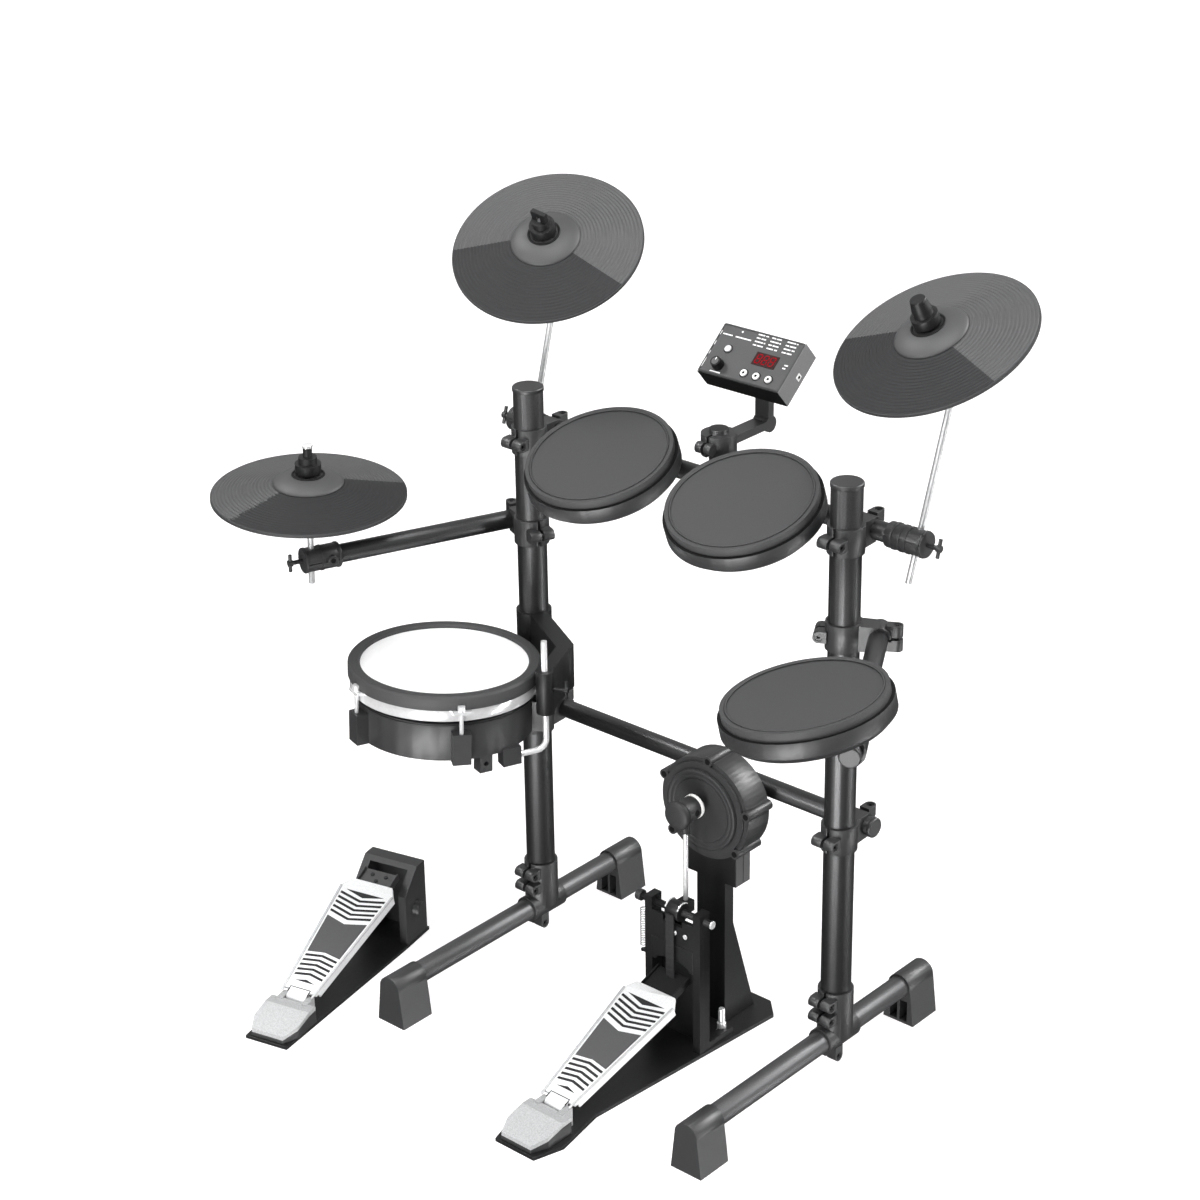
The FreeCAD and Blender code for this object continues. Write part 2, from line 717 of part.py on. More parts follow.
CRASH_X = -POST_SPACING / 2 - CRASH_OUT
RIDE_X = POST_SPACING / 2 + RIDE_OUT


def crossbars():
    lower_end = POST_SPACING / 2 + BAR_RING_WIDTH / 2 + LOWER_BAR_PAST / 2
    lower = tube(BAR_RADIUS, BAR_WALL, at(-lower_end, CLAMP_OFFSET, LOWER_BAR_Z),
                 at(lower_end, CLAMP_OFFSET, LOWER_BAR_Z))
    upper = tube(BAR_RADIUS, BAR_WALL, at(CRASH_X + ROD_CLAMP_SETBACK, CLAMP_OFFSET, UPPER_BAR_Z),
                 at(RIDE_X - ROD_CLAMP_SETBACK, CLAMP_OFFSET, UPPER_BAR_Z))
    return [lower, upper]


def tube_caps():
    """Caps of the posts, the mast and the lower crossbar."""
    lower_end = POST_SPACING / 2 + BAR_RING_WIDTH / 2 + LOWER_BAR_PAST / 2
    solids = []
    for side in (LEFT, RIGHT):
        x = side * POST_SPACING / 2
        solids.append(end_cap(POST_RADIUS, POST_WALL, POST_RADIUS + CAP_LIP, at(x, 0, POST_TOP), UP))
        end = at(side * lower_end, CLAMP_OFFSET, LOWER_BAR_Z)
        solids.append(end_cap(BAR_RADIUS, BAR_WALL, BAR_RADIUS + CAP_LIP, end, Vec(side, 0, 0)))
    return solids


# Cymbals


def thumb_screw():
    """Screw along Z with a cross bar on its far end, seated from z -SCREW_SEAT."""
    end = SCREW_LENGTH
    cross = Vec(SCREW_BAR_LENGTH / 2, 0, 0)
    tip = Vec(0, 0, end)
    return fused([bar(SCREW_RADIUS, Vec(0, 0, -SCREW_SEAT), tip),
                  bar(SCREW_HUB_RADIUS, tip - UP * SCREW_HUB_LENGTH, tip),
                  bar(SCREW_BAR_RADIUS, tip - cross - UP * (SCREW_HUB_LENGTH / 2),
                      tip + cross - UP * (SCREW_HUB_LENGTH / 2))])


def rod_clamp(joint, outward, rod_axis, sleeve, nose, bar_gap):
    """Clamp on a bar's end, with a hole for a rod across it, and its thumb screw."""
    place = frame(joint, outward, rod_axis)
    start = -ROD_CLAMP_SETBACK - sleeve
    body = bar(ROD_CLAMP_RADIUS, Vec(0, 0, start), Vec(0, 0, nose))
    socket = bar(BAR_RADIUS + bar_gap, Vec(0, 0, start - OVERRUN), Vec(0, 0, RUN_GAP - ROD_CLAMP_SETBACK))
    screw_hole = bar(SCREW_RADIUS + SEAT_GAP, Vec(0, 0, nose - SCREW_SEAT), Vec(0, 0, nose + OVERRUN))
    seam_mid = ROD_CLAMP_RADIUS - ROD_CLAMP_SEAM_DEPTH / 2
    half = Vec(ROD_CLAMP_SEAM / 2, ROD_CLAMP_SEAM_DEPTH / 2, 0)
    seams = [block(Vec(0, side * seam_mid, start - OVERRUN) - half,
                   Vec(0, side * seam_mid, nose + OVERRUN) + half)
             for side in (LEFT, RIGHT)]
    clamp = moved(cut(body, [socket, screw_hole] + seams), place)
    reach = Vec(rod_axis).normalize() * (ROD_CLAMP_RADIUS * 2)
    hole = bar(ROD_RADIUS + SEAT_GAP, joint - reach, joint + reach)
    screw = moved(thumb_screw(), FreeCAD.Placement(Vec(0, 0, nose), FreeCAD.Rotation()))
    return [cut(clamp, [hole]), moved(screw, place)]


def bow_middle(radius):
    """Height of the middle of the cymbal's bow at a radius."""
    slope = CYMBAL_RISE / (CYMBAL_RADIUS - BELL_RADIUS)
    return CYMBAL_EDGE + CYMBAL_RISE - CYMBAL_SHELL / 2 - slope * (radius - BELL_RADIUS)


def cymbal_mouth():
    """Middle of the jack's mouth, in the cymbal's frame."""
    far = JACK_BOX_PLACE + JACK_BOX_LENGTH / 2
    return Vec(0, far, -JACK_AXIS_DROP)


def cymbal():
    """Cymbal pad in its own frame: rim at z 0, bell upward, with a jack box beneath."""
    bow_top = CYMBAL_EDGE + CYMBAL_RISE
    bell_top = bow_top + BELL_RISE
    outer = [(CYMBAL_HOLE_RADIUS, bell_top), (BELL_FLAT_RADIUS, bell_top), (BELL_RADIUS, bow_top),
             (CYMBAL_RADIUS, CYMBAL_EDGE), (CYMBAL_RADIUS, 0)]
    inner = [(BELL_RADIUS, bow_top - CYMBAL_SHELL), (BELL_FLAT_RADIUS, bell_top - CYMBAL_SHELL),
             (CYMBAL_HOLE_RADIUS, bell_top - CYMBAL_SHELL)]
    disc = turned(outer + inner)
    near = JACK_BOX_PLACE - JACK_BOX_LENGTH / 2
    far = JACK_BOX_PLACE + JACK_BOX_LENGTH / 2
    side = JACK_BOX_WIDTH / 2
    floor = -JACK_AXIS_DROP - JACK_BOX_UNDER
    box = prism([Vec(-side, near, floor), Vec(-side, far, floor), Vec(-side, far, bow_middle(far)),
                 Vec(-side, near, bow_middle(near))], Vec(JACK_BOX_WIDTH, 0, 0))
    mouth = cymbal_mouth()
    bore = bar(JACK_RADIUS, mouth - Vec(0, JACK_DEPTH, 0), mouth + Vec(0, OVERRUN, 0))
    return cut(fused([disc, box]), [bore])


CYMBAL_BELL_TOP = CYMBAL_EDGE + CYMBAL_RISE + BELL_RISE
CYMBAL_BELL_UNDER = CYMBAL_BELL_TOP - CYMBAL_SHELL
ROCK_SLOPE = math.tan(math.radians(CYMBAL_ROCK * ROCK_ROOM_SHARE))


def seat_collar():
    """Sleeve under the cymbal that it rocks on, in the cymbal's frame."""
    top = CYMBAL_BELL_UNDER - SEAT_COLLAR_CLEAR
    fall = ROCK_SLOPE * (SEAT_COLLAR_RADIUS - SEAT_COLLAR_NECK)
    low = top - SEAT_COLLAR_HEIGHT
    return turned([(0, top), (SEAT_COLLAR_NECK, top), (SEAT_COLLAR_RADIUS, top - fall - SEAT_COLLAR_CLEAR),
                   (SEAT_COLLAR_RADIUS, low), (0, low)])


def top_nut(extra):
    """Felt sleeve and nut above the bell, in the cymbal's frame, with an extra solid on top."""
    low = CYMBAL_BELL_TOP + SEAT_COLLAR_CLEAR
    rise = ROCK_SLOPE * (NUT_FELT_RADIUS - SEAT_COLLAR_NECK) + SEAT_COLLAR_CLEAR
    felt_top = low + NUT_FELT_HEIGHT
    top = felt_top + NUT_COLLAR_HEIGHT
    bore = ROD_RADIUS + SEAT_GAP
    body = turned([(bore, low), (SEAT_COLLAR_NECK, low), (NUT_FELT_RADIUS, low + rise),
                   (NUT_FELT_RADIUS, felt_top),
                   (NUT_COLLAR_RADIUS, felt_top), (NUT_COLLAR_RADIUS, top), (bore, top)])
    return fused([body] + extra(top))


def wing(top):
    """Flat wing of a wing nut, as wide as a thumb's grip."""
    half = Vec(NUT_WING_WIDTH / 2, NUT_WING_THICKNESS / 2, 0)
    bore = bar(ROD_RADIUS + SEAT_GAP, Vec(0, 0, top - OVERRUN), Vec(0, 0, top + NUT_WING_HEIGHT / 2))
    plate = block(Vec(0, 0, top - SEAT_GAP) - half, Vec(0, 0, top + NUT_WING_HEIGHT) + half)
    return [plate.cut(bore)]


def slotted_cap(top):
    """Tall cap nut, chamfered toward its top."""
    bore = ROD_RADIUS + SEAT_GAP
    return [turned([(bore, top - SEAT_GAP), (NUT_COLLAR_RADIUS, top - SEAT_GAP),
                    (NUT_COLLAR_RADIUS - CAP_ROUND, top + NUT_WING_HEIGHT),
                    (0, top + NUT_WING_HEIGHT), (0, top + NUT_WING_HEIGHT / 2),
                    (bore, top + NUT_WING_HEIGHT / 2)])]


def clutch_stud(top):
    """Steel stud of the hi-hat clutch."""
    bore = ROD_RADIUS + SEAT_GAP
    return [turned([(bore, top - SEAT_GAP), (CLUTCH_STUD_RADIUS, top - SEAT_GAP),
                    (CLUTCH_STUD_RADIUS, top + CLUTCH_STUD_HEIGHT), (0, top + CLUTCH_STUD_HEIGHT),
                    (0, top + CLUTCH_STUD_HEIGHT / 2), (bore, top + CLUTCH_STUD_HEIGHT / 2)])]


CRASH_ROD = leaning(ROD_LEAN, CRASH_ROD_FACING)
RIDE_ROD = leaning(ROD_LEAN, RIDE_ROD_FACING)
CRASH_JOINT = at(CRASH_X, CLAMP_OFFSET, UPPER_BAR_Z)
RIDE_JOINT = at(RIDE_X, CLAMP_OFFSET, UPPER_BAR_Z)
CRASH_NORMAL = leaning(CRASH_TILT, CRASH_FACING)
RIDE_NORMAL = leaning(RIDE_TILT, RIDE_FACING)
CRASH_CENTRE = CRASH_JOINT + CRASH_ROD * ROD_RISE + CRASH_NORMAL * ROD_NECK
RIDE_CENTRE = RIDE_JOINT + RIDE_ROD * ROD_RISE + RIDE_NORMAL * ROD_NECK
CRASH_FRAME = frame(CRASH_CENTRE, CRASH_NORMAL, Vec(1, 0, 0))
RIDE_FRAME = frame(RIDE_CENTRE, RIDE_NORMAL, Vec(1, 0, 0))


def cymbal_rod(joint, lean, normal):
    """Bent rod with the seat collar that carries the cymbal."""
    corner = joint + lean * ROD_RISE
    centre = corner + normal * ROD_NECK
    top = CYMBAL_BELL_TOP + NUT_FELT_HEIGHT + NUT_COLLAR_HEIGHT
    rod = bent_rod(ROD_RADIUS, joint - lean * ROD_TAIL, corner, centre + normal * top, ROD_BEND_RADIUS)
    return fused([rod, moved(seat_collar(), frame(centre, normal, Vec(1, 0, 0)))])


# Arms


def arm_directions(turn, side):
    """Along the arm from its clamp, and square to it from the post to the arm."""
    along = heading(-90 + side * turn)
    square = heading(side * turn if side > 0 else 180 + side * turn)
    return along, square


HI_HAT_ALONG, HI_HAT_SQUARE = arm_directions(HI_HAT_ARM_TURN, LEFT)
FLOOR_ALONG, FLOOR_SQUARE = arm_directions(FLOOR_ARM_TURN, RIGHT)
HI_HAT_RING = at(-POST_SPACING / 2, 0, HI_HAT_ARM_Z) + HI_HAT_SQUARE * CLAMP_OFFSET
FLOOR_RING = at(POST_SPACING / 2, 0, FLOOR_ARM_Z) + FLOOR_SQUARE * CLAMP_OFFSET
HI_HAT_JOINT = HI_HAT_RING + HI_HAT_ALONG * HI_HAT_ARM_REACH
FLOOR_END = FLOOR_RING + FLOOR_ALONG * FLOOR_ARM_REACH
HI_HAT_NORMAL = leaning(HI_HAT_TILT, HI_HAT_FACING)
HI_HAT_CENTRE = HI_HAT_JOINT + HI_HAT_NORMAL * HI_HAT_CYMBAL_UP
HI_HAT_FRAME = frame(HI_HAT_CENTRE, HI_HAT_NORMAL, Vec(1, 0, 0))


def arm_clamp(side, height, square):
    """Cross clamp that swings on a post, with its two bolts."""
    place = frame(at(side * POST_SPACING / 2, 0, height), UP, square.cross(UP))
    ear_bolt = bolt(EAR_BOLT_LENGTH)
    solids = [moved(cross_clamp(RUN_GAP), place)]
    return solids + [moved(ear_bolt, place.multiply(inner)) for inner in clamp_bolt_frames()]


def hi_hat_fittings():
    return arm_clamp(LEFT, HI_HAT_ARM_Z, HI_HAT_SQUARE) + rod_clamp(
        HI_HAT_JOINT, HI_HAT_ALONG, HI_HAT_NORMAL, HI_HAT_SLEEVE, HI_HAT_NOSE, SEAT_GAP)


def hi_hat_arm():
    return tube(BAR_RADIUS, BAR_WALL, HI_HAT_RING - HI_HAT_ALONG * ARM_STUB,
                HI_HAT_JOINT - HI_HAT_ALONG * ROD_CLAMP_SETBACK)


def hi_hat_rod():
    top = CYMBAL_BELL_TOP + NUT_FELT_HEIGHT + NUT_COLLAR_HEIGHT
    rod = bar(ROD_RADIUS, HI_HAT_JOINT - HI_HAT_NORMAL * HI_HAT_ROD_TAIL, HI_HAT_CENTRE + HI_HAT_NORMAL * top)
    return fused([rod, moved(seat_collar(), HI_HAT_FRAME)])


def floor_arm_fittings():
    cap = end_cap(BAR_RADIUS, BAR_WALL, BAR_RADIUS + CAP_LIP, FLOOR_END, FLOOR_ALONG)
    return arm_clamp(RIGHT, FLOOR_ARM_Z, FLOOR_SQUARE) + [cap]


def floor_arm():
    return tube(BAR_RADIUS, BAR_WALL, FLOOR_RING - FLOOR_ALONG * ARM_STUB, FLOOR_END)


# Toms


def tom_mouth():
    """Middle of the jack's mouth, in the tom's frame."""
    return Vec(0, -TOM_JACK_PLACE - TOM_JACK_RADIUS, -TOM_JACK_HEIGHT / 2)


def tom_shell():
    """Shallow shell in its own frame: underside at z 0, with a jack boss beneath."""
    ledge = TOM_SHELL_HEIGHT - TOM_SEAT_DEPTH
    inside = TOM_SHELL_RADIUS - TOM_SHELL_WALL
    body = turned([(0, 0), (TOM_SHELL_RADIUS - TOM_CHAMFER, 0), (TOM_SHELL_RADIUS, TOM_CHAMFER),
                   (TOM_SHELL_RADIUS, TOM_SHELL_HEIGHT), (inside, TOM_SHELL_HEIGHT), (inside, ledge),
                   (TOM_LEDGE_RADIUS, ledge), (TOM_LEDGE_RADIUS, TOM_SHELL_FLOOR), (0, TOM_SHELL_FLOOR)])
    boss_at = Vec(0, -TOM_JACK_PLACE, 0)
    boss = block(boss_at - Vec(TOM_JACK_RADIUS, TOM_JACK_RADIUS, TOM_JACK_HEIGHT),
                 boss_at + Vec(TOM_JACK_RADIUS, TOM_JACK_RADIUS, SEAT_GAP))
    mouth = tom_mouth()
    bore = bar(JACK_RADIUS, mouth + Vec(0, JACK_DEPTH, 0), mouth - Vec(0, OVERRUN, 0))
    return cut(fused([body, boss]), [bore])


def tom_rubber():
    """Rubber playing pad seated in the shell's rim, with a raised border round its edge."""
    low = TOM_SHELL_HEIGHT - TOM_SEAT_DEPTH
    border = TOM_SHELL_HEIGHT + TOM_RUBBER_RAISE
    play = border - TOM_RIM_STEP
    return turned([(0, low), (TOM_RUBBER_RADIUS, low), (TOM_RUBBER_RADIUS, border),
                   (TOM_PLAY_RADIUS + TOM_RIM_STEP, border),
                   (TOM_PLAY_RADIUS, play), (0, play)])


def tom_mount(bar_point, bar_axis, normal, lift, gap):
    """Clamp ring on a bar, with a neck up to the shell's underside."""
    half = Vec(bar_axis).normalize() * (TOM_MOUNT_WIDTH / 2)
    ring = bar(BAR_RADIUS + TOM_MOUNT_WALL, bar_point - half, bar_point + half)
    place = frame(bar_point, normal, bar_axis)
    size = Vec(TOM_MOUNT_WIDTH / 2, TOM_MOUNT_NECK / 2, 0)
    neck = moved(block(Vec(0, 0, 0) - size, Vec(0, 0, lift) + size), place)
    bore = bar(BAR_RADIUS + gap, bar_point - half * 2, bar_point + half * 2)
    return cut(fused([ring, neck]), [bore])


def bar_tom(x):
    """Frame of a tom over the upper crossbar, and the point of the bar that carries it."""
    normal = leaning(TOM_TILT, -90)
    carrier = at(x, CLAMP_OFFSET, UPPER_BAR_Z)
    forward = Vec(1, 0, 0).cross(normal)
    centre = carrier + normal * TOM_LIFT + forward * TOM_FORWARD
    return frame(centre, normal, Vec(1, 0, 0)), carrier, normal


TOM_1_FRAME, TOM_1_CARRIER, TOM_NORMAL = bar_tom(TOM_1_X)
TOM_2_FRAME, TOM_2_CARRIER, TOM_NORMAL = bar_tom(TOM_2_X)
FLOOR_TOM_NORMAL = leaning(FLOOR_TOM_TILT, FLOOR_TOM_FACING)
FLOOR_TOM_CARRIER = FLOOR_END - FLOOR_ALONG * FLOOR_TOM_INSET


def floor_tom_frame():
    """Frame of the floor tom, set aside from the arm toward the drummer."""
    aside = FLOOR_ALONG.cross(FLOOR_TOM_NORMAL).normalize()
    along = FLOOR_TOM_NORMAL.cross(aside)
    level = FLOOR_TOM_CARRIER + along * FLOOR_TOM_PAST + aside * FLOOR_TOM_ASIDE
    centre = level + FLOOR_TOM_NORMAL * FLOOR_TOM_LIFT
    return frame(centre, FLOOR_TOM_NORMAL, FLOOR_ALONG)


FLOOR_TOM_FRAME = floor_tom_frame()


# Snare

SNARE_CENTRE = at(SNARE_X - POST_SPACING / 2, -SNARE_FORWARD, SNARE_TOP)
SNARE_NORMAL = leaning(SNARE_TILT, 90)
SNARE_FRAME = frame(SNARE_CENTRE, SNARE_NORMAL, Vec(1, 0, 0))
SNARE_LUG_OUT = SNARE_SHELL_RADIUS + SNARE_LUG_DEPTH
SNARE_ROD_CIRCLE = SNARE_HOOP_OUTER + SNARE_ROD_OUT


def lug_turns():
    return [SNARE_LUG_START + index * FULL_TURN / SNARE_LUG_COUNT for index in range(SNARE_LUG_COUNT)]


def spun(shape, degrees):
    """Copy turned about Z by this many degrees."""
    return moved(shape, FreeCAD.Placement(Vec(0, 0, 0), FreeCAD.Rotation(UP, degrees)))


SNARE_JACK_OUT = SNARE_SHELL_RADIUS - SNARE_JACK_LUG_IN


def snare_mouth():
    """Middle of the jack's mouth, in the snare's frame before it is turned to its angle."""
    return Vec(SNARE_JACK_OUT, 0, -SNARE_SHELL_BOTTOM - SNARE_JACK_LUG_DROP / 2)


def snare_shell():
    """Shell with its floor, lugs, jack lug and rod bracket, in the snare's frame: head at z 0."""
    top = -SNARE_SHELL_TOP
    low = -SNARE_SHELL_BOTTOM
    inside = SNARE_SHELL_RADIUS - SNARE_SHELL_WALL
    solids = [turned([(0, low), (SNARE_SHELL_RADIUS, low), (SNARE_SHELL_RADIUS, top), (inside, top),
                      (inside, low + SNARE_FLOOR), (0, low + SNARE_FLOOR)])]
    lug = block(Vec(inside, -SNARE_LUG_WIDTH / 2, low),
                Vec(SNARE_LUG_OUT, SNARE_LUG_WIDTH / 2, -SNARE_LUG_TOP))
    hole = bar(SNARE_ROD_RADIUS + SEAT_GAP, Vec(SNARE_ROD_CIRCLE, 0, low + SNARE_FLOOR),
               Vec(SNARE_ROD_CIRCLE, 0, 0))
    tools = []
    for turn in lug_turns():
        solids.append(spun(lug, turn))
        tools.append(spun(hole, turn))
    jack = block(Vec(SNARE_JACK_OUT - SNARE_JACK_LUG_DEPTH, -SNARE_JACK_LUG_WIDTH / 2,
                     low - SNARE_JACK_LUG_DROP),
                 Vec(SNARE_JACK_OUT, SNARE_JACK_LUG_WIDTH / 2, low + SNARE_FLOOR / 2))
    mouth = snare_mouth()
    bore = bar(JACK_RADIUS, mouth - Vec(JACK_DEPTH, 0, 0), mouth + Vec(OVERRUN, 0, 0))
    solids.append(spun(jack, SNARE_JACK_LUG_ANGLE))
    tools.append(spun(bore, SNARE_JACK_LUG_ANGLE))
    body = moved(cut(fused(solids), tools), SNARE_FRAME)
    return cut(fused([body, snare_bracket()]), [grip_hole()])


SNARE_LEVEL_CENTRE = Vec(SNARE_CENTRE.x, SNARE_CENTRE.y, L_ROD_LEVEL)
L_ROD_TOWARD = heading(L_ROD_TURN)
L_ROD_END = SNARE_LEVEL_CENTRE + heading(SNARE_BRACKET_TURN) * (SNARE_SHELL_RADIUS - SNARE_BRACKET_INSET)
L_ROD_BASE = L_ROD_END - L_ROD_TOWARD * L_ROD_REACH
SNARE_UNDERSIDE = SNARE_TOP - SNARE_SHELL_BOTTOM


def snare_bracket():
    """Block under the shell that grips the level leg of the rod."""
    place = frame(L_ROD_END, L_ROD_TOWARD, UP)
    half = SNARE_BRACKET_HEIGHT / 2
    rise = SNARE_UNDERSIDE - L_ROD_LEVEL + SNARE_FLOOR
    return moved(block(Vec(-half, -half, -L_ROD_GRIP), Vec(rise, half, SNARE_BRACKET_WIDTH - L_ROD_GRIP)),
                 place)


def grip_hole():
    """Hole for the level leg."""
    return bar(ROD_RADIUS + SEAT_GAP, L_ROD_END - L_ROD_TOWARD * (L_ROD_GRIP + OVERRUN), L_ROD_END)


def snare_l_rod():
    return bent_rod(ROD_RADIUS, Vec(L_ROD_BASE.x, L_ROD_BASE.y, HOLDER_Z + L_ROD_PAST), L_ROD_BASE,
                    L_ROD_END, L_ROD_BEND_RADIUS)


def snare_hoop():
    """Steel hoop with an ear at each lug."""
    inside = SNARE_HOOP_OUTER - SNARE_HOOP_WALL
    top = -SNARE_COVER_BOTTOM
    ring = turned([(inside, -SNARE_HOOP_BOTTOM), (SNARE_HOOP_OUTER, -SNARE_HOOP_BOTTOM),
                   (SNARE_HOOP_OUTER, top), (inside, top)])
    ear_half = SNARE_LUG_WIDTH / 2
    ear = block(Vec(inside + SNARE_HOOP_WALL / 2, -ear_half, top - SNARE_EAR_THICKNESS),
                Vec(SNARE_ROD_CIRCLE + SNARE_ROD_HEAD_RADIUS, ear_half, top))
    hole = bar(SNARE_ROD_RADIUS + SEAT_GAP, Vec(SNARE_ROD_CIRCLE, 0, top - SNARE_EAR_THICKNESS - OVERRUN),
               Vec(SNARE_ROD_CIRCLE, 0, top + OVERRUN))
    body = fused([ring] + [spun(ear, turn) for turn in lug_turns()])
    return moved(cut(body, [spun(hole, turn) for turn in lug_turns()]), SNARE_FRAME)


def snare_hoop_cover():
    """Soft rim cover, notched at each tension rod's head."""
    low = -SNARE_COVER_BOTTOM
    shoulder = SNARE_COVER_TOP - SNARE_BEAD_RADIUS
    head_low = -SNARE_MESH_THICKNESS
    ring = turned([(SNARE_COVER_INNER + SNARE_BEAD_RADIUS, low), (SNARE_COVER_OUTER, low),
                   (SNARE_COVER_OUTER, shoulder),
                   (SNARE_COVER_OUTER - SNARE_BEAD_RADIUS, SNARE_COVER_TOP),
                   (SNARE_COVER_INNER + SNARE_BEAD_RADIUS, SNARE_COVER_TOP), (SNARE_COVER_INNER, shoulder),
                   (SNARE_COVER_INNER, 0), (SNARE_MESH_RADIUS + SEAT_GAP, 0),
                   (SNARE_MESH_RADIUS + SEAT_GAP, head_low),
                   (SNARE_COVER_INNER + SNARE_BEAD_RADIUS, head_low)])
    notch = bar(SNARE_ROD_HEAD_RADIUS + SEAT_GAP, Vec(SNARE_ROD_CIRCLE, 0, low - OVERRUN),
                Vec(SNARE_ROD_CIRCLE, 0, low + SNARE_ROD_HEAD_HEIGHT + SEAT_GAP))
    return moved(cut(ring, [spun(notch, turn) for turn in lug_turns()]), SNARE_FRAME)


def snare_mesh():
    return moved(bar(SNARE_MESH_RADIUS, Vec(0, 0, -SNARE_MESH_THICKNESS), Vec(0, 0, 0)), SNARE_FRAME)


def snare_tension_rods():
    """Tension rods from the hoop's ears down into the lugs."""
    top = -SNARE_COVER_BOTTOM
    rod = fused([bar(SNARE_ROD_RADIUS, Vec(SNARE_ROD_CIRCLE, 0, SNARE_FLOOR * 2 - SNARE_SHELL_BOTTOM),
                     Vec(SNARE_ROD_CIRCLE, 0, top)),
                 bar(SNARE_ROD_HEAD_RADIUS, Vec(SNARE_ROD_CIRCLE, 0, top),
                     Vec(SNARE_ROD_CIRCLE, 0, top + SNARE_ROD_HEAD_HEIGHT))])
    return [moved(spun(rod, turn), SNARE_FRAME) for turn in lug_turns()]


POST_LEFT = at(-POST_SPACING / 2, 0, HOLDER_Z)
HOLDER_KNEE = POST_LEFT + Vec(HOLDER_KNEE_X, -HOLDER_KNEE_FORWARD, 0)
HOLDER_END = Vec(L_ROD_BASE.x, L_ROD_BASE.y, HOLDER_Z)


def holder_screw_frame():
    """Place of the wing screw, on the side of the holder's nose away from the snare."""
    side = UP.cross((HOLDER_END - HOLDER_KNEE).normalize())
    return frame(HOLDER_END + UP * HOLDER_SCREW_LIFT + side * HOLDER_NOSE, side, UP)


def beam(start, end, width, height):
    """Level box beam between two points."""
    half = Vec(0, width / 2, height / 2)
    return moved(block(-half, Vec((end - start).Length, 0, 0) + half), frame(start, UP, end - start))


def snare_holder():
    """Ring on the left post with a cranked box arm that carries the snare's rod."""
    half = UP * (HOLDER_HEIGHT / 2)
    solids = [bar(POST_RADIUS + HOLDER_WALL, POST_LEFT - half, POST_LEFT + half),
              beam(POST_LEFT, HOLDER_KNEE, HOLDER_ROOT_WIDTH, HOLDER_HEIGHT),
              beam(HOLDER_KNEE, HOLDER_END, HOLDER_ARM_WIDTH, HOLDER_HEIGHT),
              bar(HOLDER_ROOT_WIDTH / 2, HOLDER_KNEE - half, HOLDER_KNEE + half),
              bar(HOLDER_NOSE, HOLDER_END - half, HOLDER_END + half)]
    screw_hole = bar(SCREW_RADIUS + SEAT_GAP, Vec(0, 0, -SCREW_SEAT), Vec(0, 0, OVERRUN))
    return cut(fused(solids), [
        bar(POST_RADIUS + SEAT_GAP, POST_LEFT - half * 2, POST_LEFT + half * 2),
        bar(ROD_RADIUS + AXLE_FIT, HOLDER_END - half * 2, HOLDER_END + half * 2),
        moved(screw_hole, holder_screw_frame())])


# Sound module

MAST_AXIS = at(MAST_X, CLAMP_OFFSET, BRACKET_RING_Z)
MODULE_PIVOT = MAST_AXIS + Vec(0, BRACKET_BACK, BRACKET_EYE_UP)
MODULE_NORMAL = leaning(MODULE_TILT, -90)
MODULE_UNDERSIDE = MODULE_PIVOT + MODULE_NORMAL * MODULE_LUG_DROP
MODULE_FACE_CENTRE = MODULE_UNDERSIDE + MODULE_NORMAL * MODULE_THICKNESS
MODULE_FRAME = frame(MODULE_FACE_CENTRE, MODULE_NORMAL, Vec(1, 0, 0))


def module_bracket():
    """Clamp ring on the mast with a curved arm back to the module's pivot."""
    half = UP * (BRACKET_RING_HEIGHT / 2)
    ring = bar(BRACKET_RING_RADIUS, MAST_AXIS - half, MAST_AXIS + half)
    ear = MAST_AXIS - Vec(0, BRACKET_RING_RADIUS + EAR_RADIUS / 2, 0)
    across = Vec(BRACKET_EAR_SPAN / 2, 0, 0)
    ears = bar(EAR_RADIUS, ear - across, ear + across)
    side = Vec(BRACKET_WIDTH / 2, 0, 0)
    low = MAST_AXIS + Vec(0, BRACKET_BACK, 0)
    level = block(MAST_AXIS - side - UP * (BRACKET_THICKNESS / 2), low + side + UP * (BRACKET_THICKNESS / 2))
    elbow = bar(BRACKET_THICKNESS, low - side, low + side)
    rise = block(low - side - Vec(0, BRACKET_THICKNESS / 2, 0),
                 MODULE_PIVOT + side + Vec(0, BRACKET_THICKNESS / 2, 0))
    eye = bar(BRACKET_EYE_RADIUS, MODULE_PIVOT - side, MODULE_PIVOT + side)
    tools = [bar(MAST_RADIUS + SEAT_GAP, MAST_AXIS - half * 2, MAST_AXIS + half * 2),
             block(MAST_AXIS - Vec(SLIT / 2, BRACKET_RING_RADIUS * 2, BRACKET_RING_HEIGHT),
                   MAST_AXIS + Vec(SLIT / 2, 0, BRACKET_RING_HEIGHT)),
             bar(MODULE_PIN_RADIUS + AXLE_FIT, MODULE_PIVOT - side * 2, MODULE_PIVOT + side * 2)]
    return cut(fused([ring, ears, level, elbow, rise, eye]), tools)


def module_places():
    """Panel places of the power button and the three push buttons."""
    spots = [POWER_PLACE_SHARES] + list(BUTTON_ROW_SHARES)
    return [Vec(share_x * MODULE_WIDTH, share_y * MODULE_DEPTH, 0) for share_x, share_y in spots]


def knob_place():
    share_x, share_y = KNOB_PLACE_SHARES
    return Vec(share_x * MODULE_WIDTH, share_y * MODULE_DEPTH, 0)


def module_mouths():
    """Middles of the two sockets' mouths on the case's back side, in the case's frame."""
    back = Vec(0, MODULE_DEPTH / 2, -MODULE_THICKNESS / 2)
    return [back + Vec(side * MODULE_JACK_SPACING, 0, 0) for side in (LEFT, RIGHT)]


